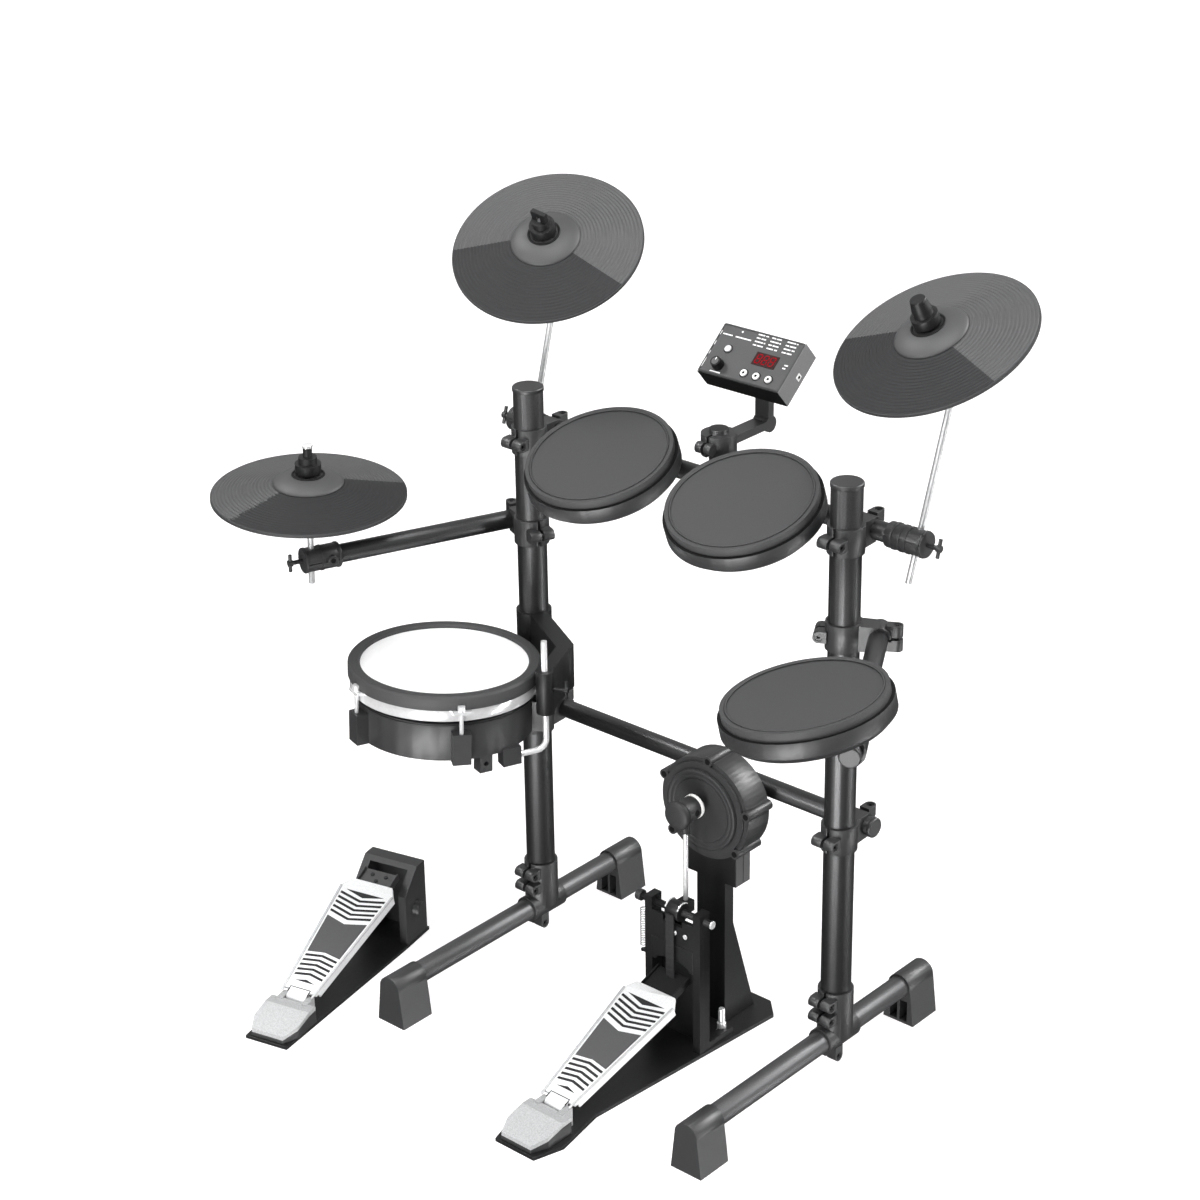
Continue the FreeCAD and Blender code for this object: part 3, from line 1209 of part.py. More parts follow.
def module_case():
    """Hollow case with wells for its buttons, a hinge pin and sockets on its back side."""
    half = Vec(MODULE_WIDTH / 2, MODULE_DEPTH / 2, 0)
    outer = block(Vec(0, 0, -MODULE_THICKNESS) - half, half)
    outer = outer.makeFillet(MODULE_EDGE, outer.Edges)
    wall = Vec(MODULE_WALL, MODULE_WALL, 0)
    floor_skin = BUTTON_WELL + KNOB_STEM_DEPTH
    inner = block(Vec(0, 0, MODULE_WALL - MODULE_THICKNESS) - half + wall, half - wall - UP * floor_skin)
    margin = Vec(MODULE_FACE_MARGIN, MODULE_FACE_MARGIN, 0)
    recess = block(Vec(0, 0, -MODULE_FACE_RECESS) - half + margin, half - margin + UP * OVERRUN)
    tools = [inner, recess]
    for place in module_places():
        tools.append(bar(BUTTON_RADIUS + BUTTON_GAP, place - UP * BUTTON_WELL, place + UP * OVERRUN))
    tools.append(bar(KNOB_STEM_RADIUS + AXLE_FIT, knob_place() - UP * KNOB_STEM_DEPTH,
                     knob_place() + UP * OVERRUN))
    for mouth in module_mouths():
        tools.append(bar(JACK_RADIUS, mouth - Vec(0, MODULE_WALL * 2, 0), mouth + Vec(0, OVERRUN, 0)))
    body = cut(outer, tools)
    return fused([moved(body, MODULE_FRAME)] + module_lugs())


def module_lugs():
    """Two lugs under the case and the pin across them."""
    inner = BRACKET_WIDTH / 2 + RUN_GAP
    solids = []
    for side in (LEFT, RIGHT):
        near = MODULE_PIVOT + Vec(side * inner, 0, 0)
        far = near + Vec(side * MODULE_LUG_WIDTH, 0, 0)
        solids.append(bar(MODULE_LUG_RADIUS, near, far))
        low = Vec(min(near.x, far.x) - MODULE_PIVOT.x, -MODULE_LUG_RADIUS, 0)
        high = Vec(max(near.x, far.x) - MODULE_PIVOT.x, MODULE_LUG_RADIUS, MODULE_LUG_DROP + MODULE_WALL / 2)
        solids.append(moved(block(low, high), frame(MODULE_PIVOT, MODULE_NORMAL, Vec(1, 0, 0))))
    reach = Vec(inner + MODULE_LUG_WIDTH / 2, 0, 0)
    solids.append(bar(MODULE_PIN_RADIUS, MODULE_PIVOT - reach, MODULE_PIVOT + reach))
    return solids


def module_button(place):
    """Push button standing clear of its well's floor by its travel."""
    low = place - UP * (BUTTON_WELL - BUTTON_TRAVEL - BUTTON_GAP)
    return moved(bar(BUTTON_RADIUS, low, low + UP * BUTTON_HEIGHT), MODULE_FRAME)


def module_knob():
    """Knob with its stem."""
    foot_at = knob_place() + UP * (BUTTON_GAP - MODULE_FACE_RECESS)
    stem_low = knob_place() - UP * (KNOB_STEM_DEPTH - BUTTON_GAP)
    cap = Part.makeCone(KNOB_RADIUS, KNOB_RADIUS - CAP_LIP, KNOB_HEIGHT, foot_at, UP)
    return moved(fused([cap, bar(KNOB_STEM_RADIUS, stem_low, foot_at + UP * CAP_LIP)]), MODULE_FRAME)


# Kick tower


def kick_base_plate():
    """Floor plate: round the heel, drawn in at the waist, wide under the tower."""
    stations = [(KICK_PLATE_NOSE_WIDTH, -KICK_PLATE_FRONT), (KICK_PLATE_HEEL_WIDTH, -KICK_PLATE_HEEL),
                (KICK_PLATE_WAIST_WIDTH, -KICK_PLATE_WAIST),
                (KICK_PLATE_TOE_WIDTH, KICK_PLATE_BACK - KICK_PLATE_CORNER),
                (KICK_PLATE_TOE_WIDTH - KICK_PLATE_CORNER * 2, KICK_PLATE_BACK)]
    right = [at(KICK_X + width / 2, y, 0) for width, y in stations]
    left = [at(KICK_X - width / 2, y, 0) for width, y in reversed(stations)]
    return prism(right + left, UP * KICK_PLATE_THICKNESS)


KICK_COLUMN_BACK = KICK_COLUMN_DEPTH - KICK_COLUMN_FRONT


def kick_tower():
    """Channel column with a wider head and two gussets on the base plate."""
    half = KICK_COLUMN_WIDTH / 2
    front = -KICK_COLUMN_FRONT
    column = block(at(KICK_X - half, front, KICK_PLATE_THICKNESS),
                   at(KICK_X + half, KICK_COLUMN_BACK, KICK_PAD_Z))
    neck_half = KICK_NECK_WIDTH / 2
    neck = block(at(KICK_X - neck_half, front, KICK_NECK_BOTTOM),
                 at(KICK_X + neck_half, front + KICK_NECK_DEPTH, KICK_PAD_Z))
    hollow = block(at(KICK_X - half + KICK_COLUMN_WALL, front + KICK_COLUMN_WALL,
                      KICK_PLATE_THICKNESS - OVERRUN),
                   at(KICK_X + half - KICK_COLUMN_WALL, KICK_COLUMN_BACK + OVERRUN, KICK_NECK_BOTTOM))
    body = cut(fused([column, neck]), [hollow, kick_housing_space()])
    gussets = []
    for start in (KICK_X - half, KICK_X + half - GUSSET_THICKNESS):
        points = [at(start, KICK_COLUMN_BACK, KICK_PLATE_THICKNESS),
                  at(start, KICK_COLUMN_BACK + GUSSET_REACH, KICK_PLATE_THICKNESS),
                  at(start, KICK_COLUMN_BACK, KICK_PLATE_THICKNESS + GUSSET_HEIGHT)]
        gussets.append(prism(points, Vec(GUSSET_THICKNESS, 0, 0)))
    return fused([body] + gussets)


KICK_FACE = at(KICK_X, -KICK_PAD_FRONT, KICK_PAD_Z)
KICK_HOUSING_FRONT = KICK_PAD_FRONT - KICK_HOUSING_SETBACK


def kick_housing_space():
    """Room that the pad's housing takes out of the tower's head."""
    front = at(KICK_X, -KICK_HOUSING_FRONT, KICK_PAD_Z)
    return bar(KICK_HOUSING_RADIUS + SEAT_GAP, front, front + Vec(0, KICK_HOUSING_DEPTH + OVERRUN, 0))


def kick_housing():
    """Round housing with screw bosses on its rim and a seat for the pad."""
    front = at(KICK_X, -KICK_HOUSING_FRONT, KICK_PAD_Z)
    back = front + Vec(0, KICK_HOUSING_DEPTH, 0)
    solids = [bar(KICK_HOUSING_RADIUS, front + Vec(0, KICK_HOUSING_SETBACK, 0), back),
              bar(KICK_HOUSING_FACE_RADIUS, front, back)]
    for degrees in KICK_BOSS_TURNS:
        turn = math.radians(degrees)
        off = Vec(math.cos(turn), 0, math.sin(turn)) * KICK_HOUSING_RADIUS
        solids.append(bar(KICK_BOSS_RADIUS, front + off, back + off))
    seat = bar(KICK_PAD_RADIUS + SEAT_GAP, front - Vec(0, OVERRUN, 0),
               front + Vec(0, KICK_PAD_THICKNESS - KICK_HOUSING_SETBACK, 0))
    return cut(fused(solids), [seat])


def kick_pad():
    return bar(KICK_PAD_RADIUS, KICK_FACE, KICK_FACE + Vec(0, KICK_PAD_THICKNESS, 0))


# Pedal frame, beater and spring

AXLE = at(KICK_X, -AXLE_Y, AXLE_Z)


def pedal_frame():
    """Two posts with a bridge plate between them, feet on the base plate and the spring's lower lug."""
    solids = []
    half = FRAME_WIDTH / 2
    for side in (LEFT, RIGHT):
        outer = KICK_X + side * half
        inner = outer - side * FRAME_POST_WIDTH
        low_x = min(outer, inner)
        high_x = max(outer, inner)
        solids.append(block(at(low_x, -FRAME_Y - FRAME_POST_DEPTH / 2, KICK_PLATE_THICKNESS),
                            at(high_x, -FRAME_Y + FRAME_POST_DEPTH / 2, FRAME_TOP)))
        solids.append(block(at(low_x, -FRAME_Y - FRAME_POST_DEPTH / 2, KICK_PLATE_THICKNESS),
                            at(high_x, -FRAME_Y + FRAME_FOOT_DEPTH,
                               KICK_PLATE_THICKNESS + FRAME_FOOT_HEIGHT)))
    solids.append(block(at(KICK_X - half, -FRAME_Y - FRAME_POST_DEPTH / 2, FRAME_PLATE_BOTTOM),
                        at(KICK_X + half, -FRAME_Y - FRAME_POST_DEPTH / 2 + FRAME_PLATE_THICKNESS,
                           FRAME_PLATE_TOP)))
    lug = spring_lug(spring_path()[0], -1)
    solids.append(lug)
    foot_y = lug.BoundBox.YMin
    lug_z = spring_path()[0][0].z
    solids.append(block(Vec(lug.BoundBox.XMin, foot_y, lug_z - SPRING_LUG_RADIUS),
                        Vec(at(KICK_X - half + SPRING_LUG_RADIUS, 0, 0).x, foot_y + SPRING_ARM_WIDTH,
                            lug_z + SPRING_LUG_RADIUS)))
    bore = bar(AXLE_RADIUS + AXLE_FIT, AXLE - Vec(FRAME_WIDTH, 0, 0), AXLE + Vec(FRAME_WIDTH, 0, 0))
    return cut(fused(solids), [bore])


def beater_axle():
    """Axle through the frame with the cam hub and the spring's crank."""
    half = FRAME_WIDTH / 2 + AXLE_PAST
    wide = Vec(HUB_WIDTH / 2, 0, 0)
    lug = spring_lug(spring_path()[-1], 1)
    end = lug.BoundBox
    crank = block(Vec(end.XMin, end.YMax - SPRING_CRANK_DEPTH, end.ZMin),
                  Vec(end.XMax, end.YMax, AXLE_Z + AXLE_RADIUS / 2))
    arm_half = Vec(HUB_ARM_WIDTH / 2, 0, HUB_ARM_HEIGHT / 2)
    arm = block(AXLE - arm_half, AXLE + arm_half + Vec(0, HUB_ARM_REACH, 0))
    return fused([bar(AXLE_RADIUS, AXLE - Vec(half, 0, 0), AXLE + Vec(half, 0, 0)),
                  bar(HUB_RADIUS, AXLE - wide, AXLE + wide), arm, lug, crank])


BEATER_FOOT = AXLE + Vec(0, BEATER_OUT, HUB_ARM_HEIGHT / 2)
BEATER_TIP = AXLE + Vec(0, BEATER_OUT, BEATER_LENGTH)
SHAFT_TOP = BEATER_TIP - UP * (BEATER_HEAD_RADIUS - BEATER_SLEEVE_RADIUS)


def beater_shaft():
    return bar(BEATER_SHAFT_RADIUS, BEATER_FOOT, SHAFT_TOP)


def beater_head():
    """Cylinder across the shaft's tip, struck end toward the pad, with a sleeve below."""
    half = Vec(0, BEATER_HEAD_LENGTH / 2, 0)
    sleeve = bar(BEATER_SLEEVE_RADIUS, BEATER_TIP - UP * (BEATER_HEAD_RADIUS + BEATER_SLEEVE_LENGTH),
                 BEATER_TIP)
    shaft_hole = bar(BEATER_SHAFT_RADIUS + SEAT_GAP, BEATER_FOOT, SHAFT_TOP)
    return cut(fused([bar(BEATER_HEAD_RADIUS, BEATER_TIP - half, BEATER_TIP + half), sleeve]), [shaft_hole])


def spring_path():
    """Points and headings of the coil at each half turn, from the lower end up."""
    x = KICK_X - FRAME_WIDTH / 2 - SPRING_OUT
    low = Vec(0, 0, FRAME_PLATE_BOTTOM - SPRING_PITCH * SPRING_TURNS / 2)
    stops = []
    for index in range(SPRING_TURNS * 2 + 1):
        turn = math.pi * index
        spot = at(x + SPRING_RADIUS * math.cos(turn), -FRAME_Y + SPRING_RADIUS * math.sin(turn), 0)
        climb = SPRING_PITCH / (2 * math.pi)
        course = Vec(-SPRING_RADIUS * math.sin(turn), SPRING_RADIUS * math.cos(turn), climb).normalize()
        stops.append((spot + low + UP * (SPRING_PITCH * index / 2), course))
    return stops


def spring_lug(stop, way):
    """Lug whose end face meets the wire's end; way is 1 past the top end and -1 before the lower one."""
    spot, course = stop
    start = spot + course * (way * SPRING_WIRE * 2)
    return bar(SPRING_LUG_RADIUS, start, start + course * (way * SPRING_LUG_LENGTH))


def arc_from(start, course, end):
    """Arc from a point along a heading to another point."""
    chord = end - start
    level = Vec(chord).normalize()
    bend = course.getAngle(chord)
    side = (course - level * course.dot(level)).normalize()
    middle = start + chord / 2 + side * (chord.Length / 2 * math.tan(bend / 2))
    return Part.Arc(start, middle, end)


def biarc(first, second):
    """Two arcs that meet smoothly between two points with headings."""
    start, leave = first
    end, arrive = second
    chord = end - start
    both = leave + arrive
    spread = 2 * (1 - leave.dot(arrive))
    along = chord.dot(both)
    reach = (math.sqrt(along ** 2 + spread * chord.dot(chord)) - along) / spread
    one = start + leave * reach
    two = end - arrive * reach
    meet = (one + two) / 2
    course = (two - one).normalize()
    return [arc_from(start, leave, meet), arc_from(meet, course, end)]


def spring_wire_path():
    """Path of the wire, with a short straight run at each end."""
    stops = spring_path()
    first, leave = stops[0]
    last, arrive = stops[-1]
    run = SPRING_WIRE * 2
    edges = [Part.LineSegment(first - leave * run, first).toShape()]
    for one, two in zip(stops, stops[1:]):
        edges += [arc.toShape() for arc in biarc(one, two)]
    edges.append(Part.LineSegment(last, last + arrive * run).toShape())
    return Part.Wire(edges)


def kick_spring():
    """Extension spring as one unbroken wire."""
    first, leave = spring_path()[0]
    section = Part.Wire(Part.makeCircle(SPRING_WIRE, first - leave * (SPRING_WIRE * 2), leave))
    return spring_wire_path().makePipeShell([section], True, False)


def spring_gap():
    """Least gap between turns of the wire, from points more than half a turn apart."""
    points = spring_wire_path().discretize(SPRING_TURNS * SPRING_SAMPLES)
    apart = SPRING_SAMPLES // 2
    pairs = ((one, two) for index, one in enumerate(points) for two in points[index + apart:])
    return min(one.distanceToPoint(two) for one, two in pairs) - SPRING_WIRE * 2


# Footboards


def board_points(widths):
    """Footboard outline in its own frame: heel at y 0, toe at y BOARD_LENGTH."""
    heel, toe, neck = widths
    shoulder = BOARD_LENGTH - BOARD_NECK_LENGTH
    return [Vec(-heel / 2, 0, 0), Vec(heel / 2, 0, 0), Vec(toe / 2, shoulder, 0),
            Vec(neck / 2, BOARD_LENGTH, 0),
            Vec(-neck / 2, BOARD_LENGTH, 0), Vec(-toe / 2, shoulder, 0)]


def footboard(tongue_length):
    """Footboard with turned-down side lips, a hinge barrel at its heel and a tongue at its toe."""
    top = HINGE_BARREL_RADIUS
    plate = prism(board_points((BOARD_HEEL_WIDTH, BOARD_TOE_WIDTH, BOARD_NECK_WIDTH)), UP * BOARD_THICKNESS)
    low = -BOARD_LIP
    skirt = prism(board_points((BOARD_HEEL_WIDTH, BOARD_TOE_WIDTH, BOARD_NECK_WIDTH)), UP * low)
    less = BOARD_LIP_WALL * 2
    inner = prism(board_points((BOARD_HEEL_WIDTH - less, BOARD_TOE_WIDTH - less, BOARD_NECK_WIDTH - less)),
                  UP * low * 2)
    ends = [block(Vec(-BOARD_TOE_WIDTH, -OVERRUN, low * 2), Vec(BOARD_TOE_WIDTH, HINGE_BARREL_RADIUS * 2, 0)),
            block(Vec(-BOARD_TOE_WIDTH, BOARD_LENGTH - BOARD_NECK_LENGTH, low * 2),
                  Vec(BOARD_TOE_WIDTH, BOARD_LENGTH * 2, 0))]
    lips = skirt.cut(Part.makeCompound([inner] + ends))
    tongue = block(Vec(-TONGUE_WIDTH / 2, BOARD_LENGTH - BOARD_NECK_LENGTH, -TONGUE_THICKNESS),
                   Vec(TONGUE_WIDTH / 2, BOARD_LENGTH + tongue_length, 0))
    barrel_half = Vec(HINGE_BARREL_WIDTH / 2, 0, 0)
    axis = Vec(0, 0, -top + BOARD_THICKNESS)
    barrel = bar(HINGE_BARREL_RADIUS, axis - barrel_half, axis + barrel_half)
    bore = bar(HINGE_RADIUS + HINGE_FIT, axis - barrel_half * 2, axis + barrel_half * 2)
    room = [block(Vec(side * (HINGE_BARREL_WIDTH / 2) if side > 0 else -BOARD_TOE_WIDTH, -OVERRUN, low * 2),
                  Vec(BOARD_TOE_WIDTH if side > 0 else -HINGE_BARREL_WIDTH / 2,
                      HINGE_BARREL_RADIUS + HINGE_EAR_GAP * 2,
                      BOARD_THICKNESS * 2)) for side in (LEFT, RIGHT)]
    body = cut(fused([plate, lips, tongue]), room)
    body = cut(fused([body, barrel]), [bore])
    return moved(body, FreeCAD.Placement(axis * -1, FreeCAD.Rotation()))


def board_place(hinge, yaw):
    """Placement of a footboard on its hinge, at its rest slope."""
    along = heading(90 + yaw)
    across = heading(yaw)
    slope = math.radians(BOARD_SLOPE)
    normal = UP * math.cos(slope) - along * math.sin(slope)
    return frame(hinge, normal, across)


def heel_plate():
    """Heel plate in its own frame: hinge on the origin, heel toward -Y, with the pin and its ears."""
    low = KICK_PLATE_THICKNESS - BOARD_HINGE_Z
    back = -HINGE_BARREL_RADIUS - HEEL_BACK_GAP / 2
    front = back - HEEL_LENGTH
    wide = HEEL_WIDTH / 2
    nose = HEEL_NOSE_WIDTH / 2
    outline = [Vec(-wide, back, low), Vec(-wide, front + HEEL_LENGTH * HEEL_NOSE_SHARE, low),
               Vec(-nose, front, low), Vec(nose, front, low),
               Vec(wide, front + HEEL_LENGTH * HEEL_NOSE_SHARE, low), Vec(wide, back, low)]
    body = prism(outline, UP * HEEL_HEIGHT)
    ramp = prism([Vec(-wide * 2, front - OVERRUN, low + HEEL_NOSE_HEIGHT),
                  Vec(-wide * 2, back - HEEL_LENGTH * HEEL_FLAT_SHARE, low + HEEL_HEIGHT),
                  Vec(-wide * 2, back - HEEL_LENGTH * HEEL_FLAT_SHARE, low + HEEL_HEIGHT * 2),
                  Vec(-wide * 2, front - OVERRUN, low + HEEL_HEIGHT * 2)],
                 Vec(wide * 4, 0, 0))
    solids = [body.cut(ramp)]
    inner = HINGE_BARREL_WIDTH / 2 + HINGE_EAR_GAP
    for side in (LEFT, RIGHT):
        start = min(side * inner, side * (inner + HINGE_EAR_WIDTH))
        end = max(side * inner, side * (inner + HINGE_EAR_WIDTH))
        solids.append(block(Vec(start, back - OVERRUN, low), Vec(end, HINGE_RADIUS, HINGE_RADIUS)))
    reach = Vec(inner + HINGE_EAR_WIDTH, 0, 0)
    solids.append(bar(HINGE_RADIUS, -reach, reach))
    return fused(solids)


KICK_HINGE = at(KICK_X, -KICK_HINGE_FORWARD, BOARD_HINGE_Z)
HH_HINGE = at(HH_PEDAL_X, -HH_PEDAL_FORWARD, BOARD_HINGE_Z)
HH_FRAME = frame(HH_HINGE, UP, heading(HH_PEDAL_YAW))


def heel_plates():
    plate = heel_plate()
    return [moved(plate, frame(KICK_HINGE, UP, Vec(1, 0, 0))), moved(plate, HH_FRAME)]


def tongue_top(y):
    """Height of the kick tongue's upper face at a place along Y, measured from the hinge."""
    slope = math.radians(BOARD_SLOPE)
    above = HINGE_BARREL_RADIUS - BOARD_THICKNESS
    return BOARD_HINGE_Z + y * math.tan(slope) + above / math.cos(slope)


def pedal_strap():
    """Strap from the tongue up to the front of the cam hub."""
    back = AXLE.y - HUB_RADIUS - SEAT_GAP
    low = tongue_top(back - KICK_HINGE.y) + SEAT_GAP
    half = STRAP_WIDTH / 2
    return block(Vec(AXLE.x - half, back - STRAP_THICKNESS, low), Vec(AXLE.x + half, back, AXLE_Z))


# Hi-hat pedal


def hh_pedal_base():
    """Base plate in the pedal's frame."""
    low = -BOARD_HINGE_Z
    heel = HH_PLATE_HEEL_WIDTH / 2
    toe = HH_PLATE_TOE_WIDTH / 2
    points = [Vec(-heel, -HH_PLATE_FRONT, low), Vec(heel, -HH_PLATE_FRONT, low), Vec(toe, HH_HOOD_FRONT, low),
              Vec(toe, HH_PLATE_BACK, low), Vec(-toe, HH_PLATE_BACK, low), Vec(-toe, HH_HOOD_FRONT, low)]
    return moved(prism(points, UP * HH_PLATE_THICKNESS), HH_FRAME)


def hood_mouth():
    """Middle of the hood's jack mouth, in the pedal's frame."""
    return Vec(0, HH_HOOD_BACK + HH_JACK_BOSS_LENGTH, HH_JACK_Z - BOARD_HINGE_Z)


def hh_pedal_hood():
    """Hollow hood over the pedal's toe with a mouth, a jack boss behind and a knob on its right side."""
    low = HH_PLATE_THICKNESS - BOARD_HINGE_Z
    top = HH_HOOD_HEIGHT - BOARD_HINGE_Z
    half = HH_HOOD_WIDTH / 2
    profile = [Vec(-half, HH_HOOD_FRONT, low), Vec(-half, HH_HOOD_BACK, low), Vec(-half, HH_HOOD_BACK, top),
               Vec(-half, HH_HOOD_FRONT + HH_HOOD_SLOPE, top), Vec(-half, HH_HOOD_FRONT, top - HH_HOOD_SLOPE)]
    body = prism(profile, Vec(HH_HOOD_WIDTH, 0, 0))
    mouth = HH_HOOD_MOUTH_WIDTH / 2
    room = block(Vec(-mouth, HH_HOOD_FRONT - OVERRUN, low - OVERRUN),
                 Vec(mouth, HH_HOOD_BACK - HH_HOOD_WALL, HH_HOOD_MOUTH_HEIGHT - BOARD_HINGE_Z))
    boss_end = hood_mouth()
    boss = bar(HH_JACK_BOSS_RADIUS, boss_end - Vec(0, HH_JACK_BOSS_LENGTH + HH_HOOD_WALL, 0), boss_end)
    bore = bar(JACK_RADIUS, boss_end - Vec(0, JACK_DEPTH, 0), boss_end + Vec(0, OVERRUN, 0))
    beside = Vec(half, (HH_HOOD_FRONT + HH_HOOD_BACK) / 2, boss_end.z)
    knob = bar(HH_KNOB_RADIUS, beside - Vec(HH_HOOD_WALL, 0, 0), beside + Vec(HH_KNOB_LENGTH, 0, 0))
    return moved(cut(fused([body, boss, knob]), [room, bore]), HH_FRAME)


def nodes():
    """Every named piece of the kit."""
    buttons = module_places()
    crash_clamp = rod_clamp(CRASH_JOINT, Vec(-1, 0, 0), CRASH_ROD, CRASH_SLEEVE, CRASH_NOSE, RUN_GAP)
    ride_clamp = rod_clamp(RIDE_JOINT, Vec(1, 0, 0), RIDE_ROD, RIDE_SLEEVE, RIDE_NOSE, RUN_GAP)
    disc = cymbal()
    shell = tom_shell()
    rubber = tom_rubber()
    return {
        "posts": posts(),
        "base_tubes": base_tubes(),
        "feet": feet(),
        "rack_clamps": rack_clamps(),
        "rack_bolts": rack_bolts(),
        "crossbars": crossbars(),
        "tube_caps": tube_caps(),
        "hi_hat_fittings": hi_hat_fittings(),
        "hi_hat_arm": [hi_hat_arm()],
        "hi_hat_rod": [hi_hat_rod()],
        "hi_hat_cymbal": [moved(disc, HI_HAT_FRAME)],
        "hi_hat_clutch": [moved(top_nut(clutch_stud), HI_HAT_FRAME)],
        "crash_rod_clamp": crash_clamp,
        "crash_rod": [cymbal_rod(CRASH_JOINT, CRASH_ROD, CRASH_NORMAL)],
        "crash_cymbal": [moved(disc, CRASH_FRAME)],
        "crash_wing_nut": [moved(top_nut(wing), CRASH_FRAME)],
        "ride_rod_clamp": ride_clamp,
        "ride_rod": [cymbal_rod(RIDE_JOINT, RIDE_ROD, RIDE_NORMAL)],
        "ride_cymbal": [moved(disc, RIDE_FRAME)],
        "ride_cap_nut": [moved(top_nut(slotted_cap), RIDE_FRAME)],
        "tom_1_mount": [tom_mount(TOM_1_CARRIER, Vec(1, 0, 0), TOM_NORMAL, TOM_LIFT, RUN_GAP)],
        "tom_1_shell": [moved(shell, TOM_1_FRAME)],
        "tom_1_rubber": [moved(rubber, TOM_1_FRAME)],
        "tom_2_mount": [tom_mount(TOM_2_CARRIER, Vec(1, 0, 0), TOM_NORMAL, TOM_LIFT, RUN_GAP)],
        "tom_2_shell": [moved(shell, TOM_2_FRAME)],
        "tom_2_rubber": [moved(rubber, TOM_2_FRAME)],
        "floor_arm_fittings": floor_arm_fittings(),
        "floor_arm": [floor_arm()],
        "floor_tom_mount": [tom_mount(FLOOR_TOM_CARRIER, FLOOR_ALONG, FLOOR_TOM_NORMAL, FLOOR_TOM_LIFT,
                                      RUN_GAP)],
        "floor_tom_shell": [moved(shell, FLOOR_TOM_FRAME)],
        "floor_tom_rubber": [moved(rubber, FLOOR_TOM_FRAME)],
        "snare_holder": [snare_holder()],
        "snare_l_rod": [snare_l_rod()],
        "snare_shell": [snare_shell()],
        "snare_hoop": [snare_hoop()],
        "snare_hoop_cover": [snare_hoop_cover()],
        "snare_mesh": [snare_mesh()],
        "snare_tension_rods": snare_tension_rods(),
        "module_bracket": [module_bracket()],
        "module_case": [module_case()],
        "volume_knob": [module_knob()],
        "power_button": [module_button(buttons[0])],
        "button_1": [module_button(buttons[1])],
        "button_2": [module_button(buttons[2])],
        "button_3": [module_button(buttons[3])],
        "kick_base_plate": [kick_base_plate()],
        "kick_tower": [kick_tower()],
        "kick_housing": [kick_housing()],
        "kick_pad": [kick_pad()],
        "pedal_frame": [pedal_frame()],
        "kick_footboard": [moved(footboard(TONGUE_LENGTH), board_place(KICK_HINGE, 0))],
        "pedal_strap": [pedal_strap()],
        "beater_axle": [beater_axle()],
        "beater_shaft": [beater_shaft()],
        "beater_head": [beater_head()],
        "kick_spring": [kick_spring()],
        "heel_plates": heel_plates(),
        "hh_pedal_base": [hh_pedal_base()],
        "hh_pedal_hood": [hh_pedal_hood()],
        "hh_footboard": [moved(footboard(HH_TONGUE_LENGTH), board_place(HH_HINGE, HH_PEDAL_YAW))],
    }


def main():
    os.makedirs("parts", exist_ok=True)
    box = FreeCAD.BoundBox()
    for name, solids in nodes().items():
        shape = solids[0] if len(solids) == 1 else Part.makeCompound(solids)
        box.add(shape.BoundBox)
        bad = [solid for solid in solids if not solid.isValid() or len(solid.Solids) != 1]
        volume = round(shape.Volume / CUBIC_CM, 1)
        print(name, "solids", len(shape.Solids), "volume cm3", volume, "BAD" if bad else "")
        shape.exportStep("parts/" + name + ".step")
    print("box", box)
    print("least gap between spring turns", round(spring_gap(), 2))


main()
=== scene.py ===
"""Looks of the electronic drum kit: finishes, fine shapes, floor, light and camera, in metres."""

import json
import math

import bmesh
import bpy
from mathutils import Matrix, Vector


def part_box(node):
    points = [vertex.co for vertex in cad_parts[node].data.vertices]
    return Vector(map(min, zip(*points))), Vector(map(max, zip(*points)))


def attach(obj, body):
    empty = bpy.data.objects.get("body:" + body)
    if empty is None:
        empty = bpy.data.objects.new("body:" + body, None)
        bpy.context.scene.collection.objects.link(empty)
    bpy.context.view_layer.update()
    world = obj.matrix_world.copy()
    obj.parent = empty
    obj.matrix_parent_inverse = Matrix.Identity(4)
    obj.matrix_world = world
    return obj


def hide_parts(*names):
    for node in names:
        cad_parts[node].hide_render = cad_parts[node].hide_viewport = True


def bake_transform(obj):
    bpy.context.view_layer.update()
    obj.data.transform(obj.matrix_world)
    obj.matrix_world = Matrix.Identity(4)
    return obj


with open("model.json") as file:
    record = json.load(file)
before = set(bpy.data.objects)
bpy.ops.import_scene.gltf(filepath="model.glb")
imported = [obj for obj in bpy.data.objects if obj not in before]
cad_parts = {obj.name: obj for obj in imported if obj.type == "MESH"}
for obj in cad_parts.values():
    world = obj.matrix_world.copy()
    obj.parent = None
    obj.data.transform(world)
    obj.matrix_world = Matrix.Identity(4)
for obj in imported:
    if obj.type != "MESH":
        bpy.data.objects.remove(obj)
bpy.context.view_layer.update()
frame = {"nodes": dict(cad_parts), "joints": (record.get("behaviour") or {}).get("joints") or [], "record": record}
JOINTS = {joint["name"]: joint for joint in frame["joints"]}
MOUNTS = {mount["name"]: mount for mount in frame["record"]["mounts"]}
RIGHT = Vector((1, 0, 0))
AWAY = Vector((0, 1, 0))
UP = Vector((0, 0, 1))
CORNERS = ((-1, -1), (1, -1), (1, 1), (-1, 1))

# Thin overlap between an added form and the solid below it

SKIN = 0.0003

# Finishes: base colour, lighter colour of the grain, roughness, metal, sheen, grain size and bump depth

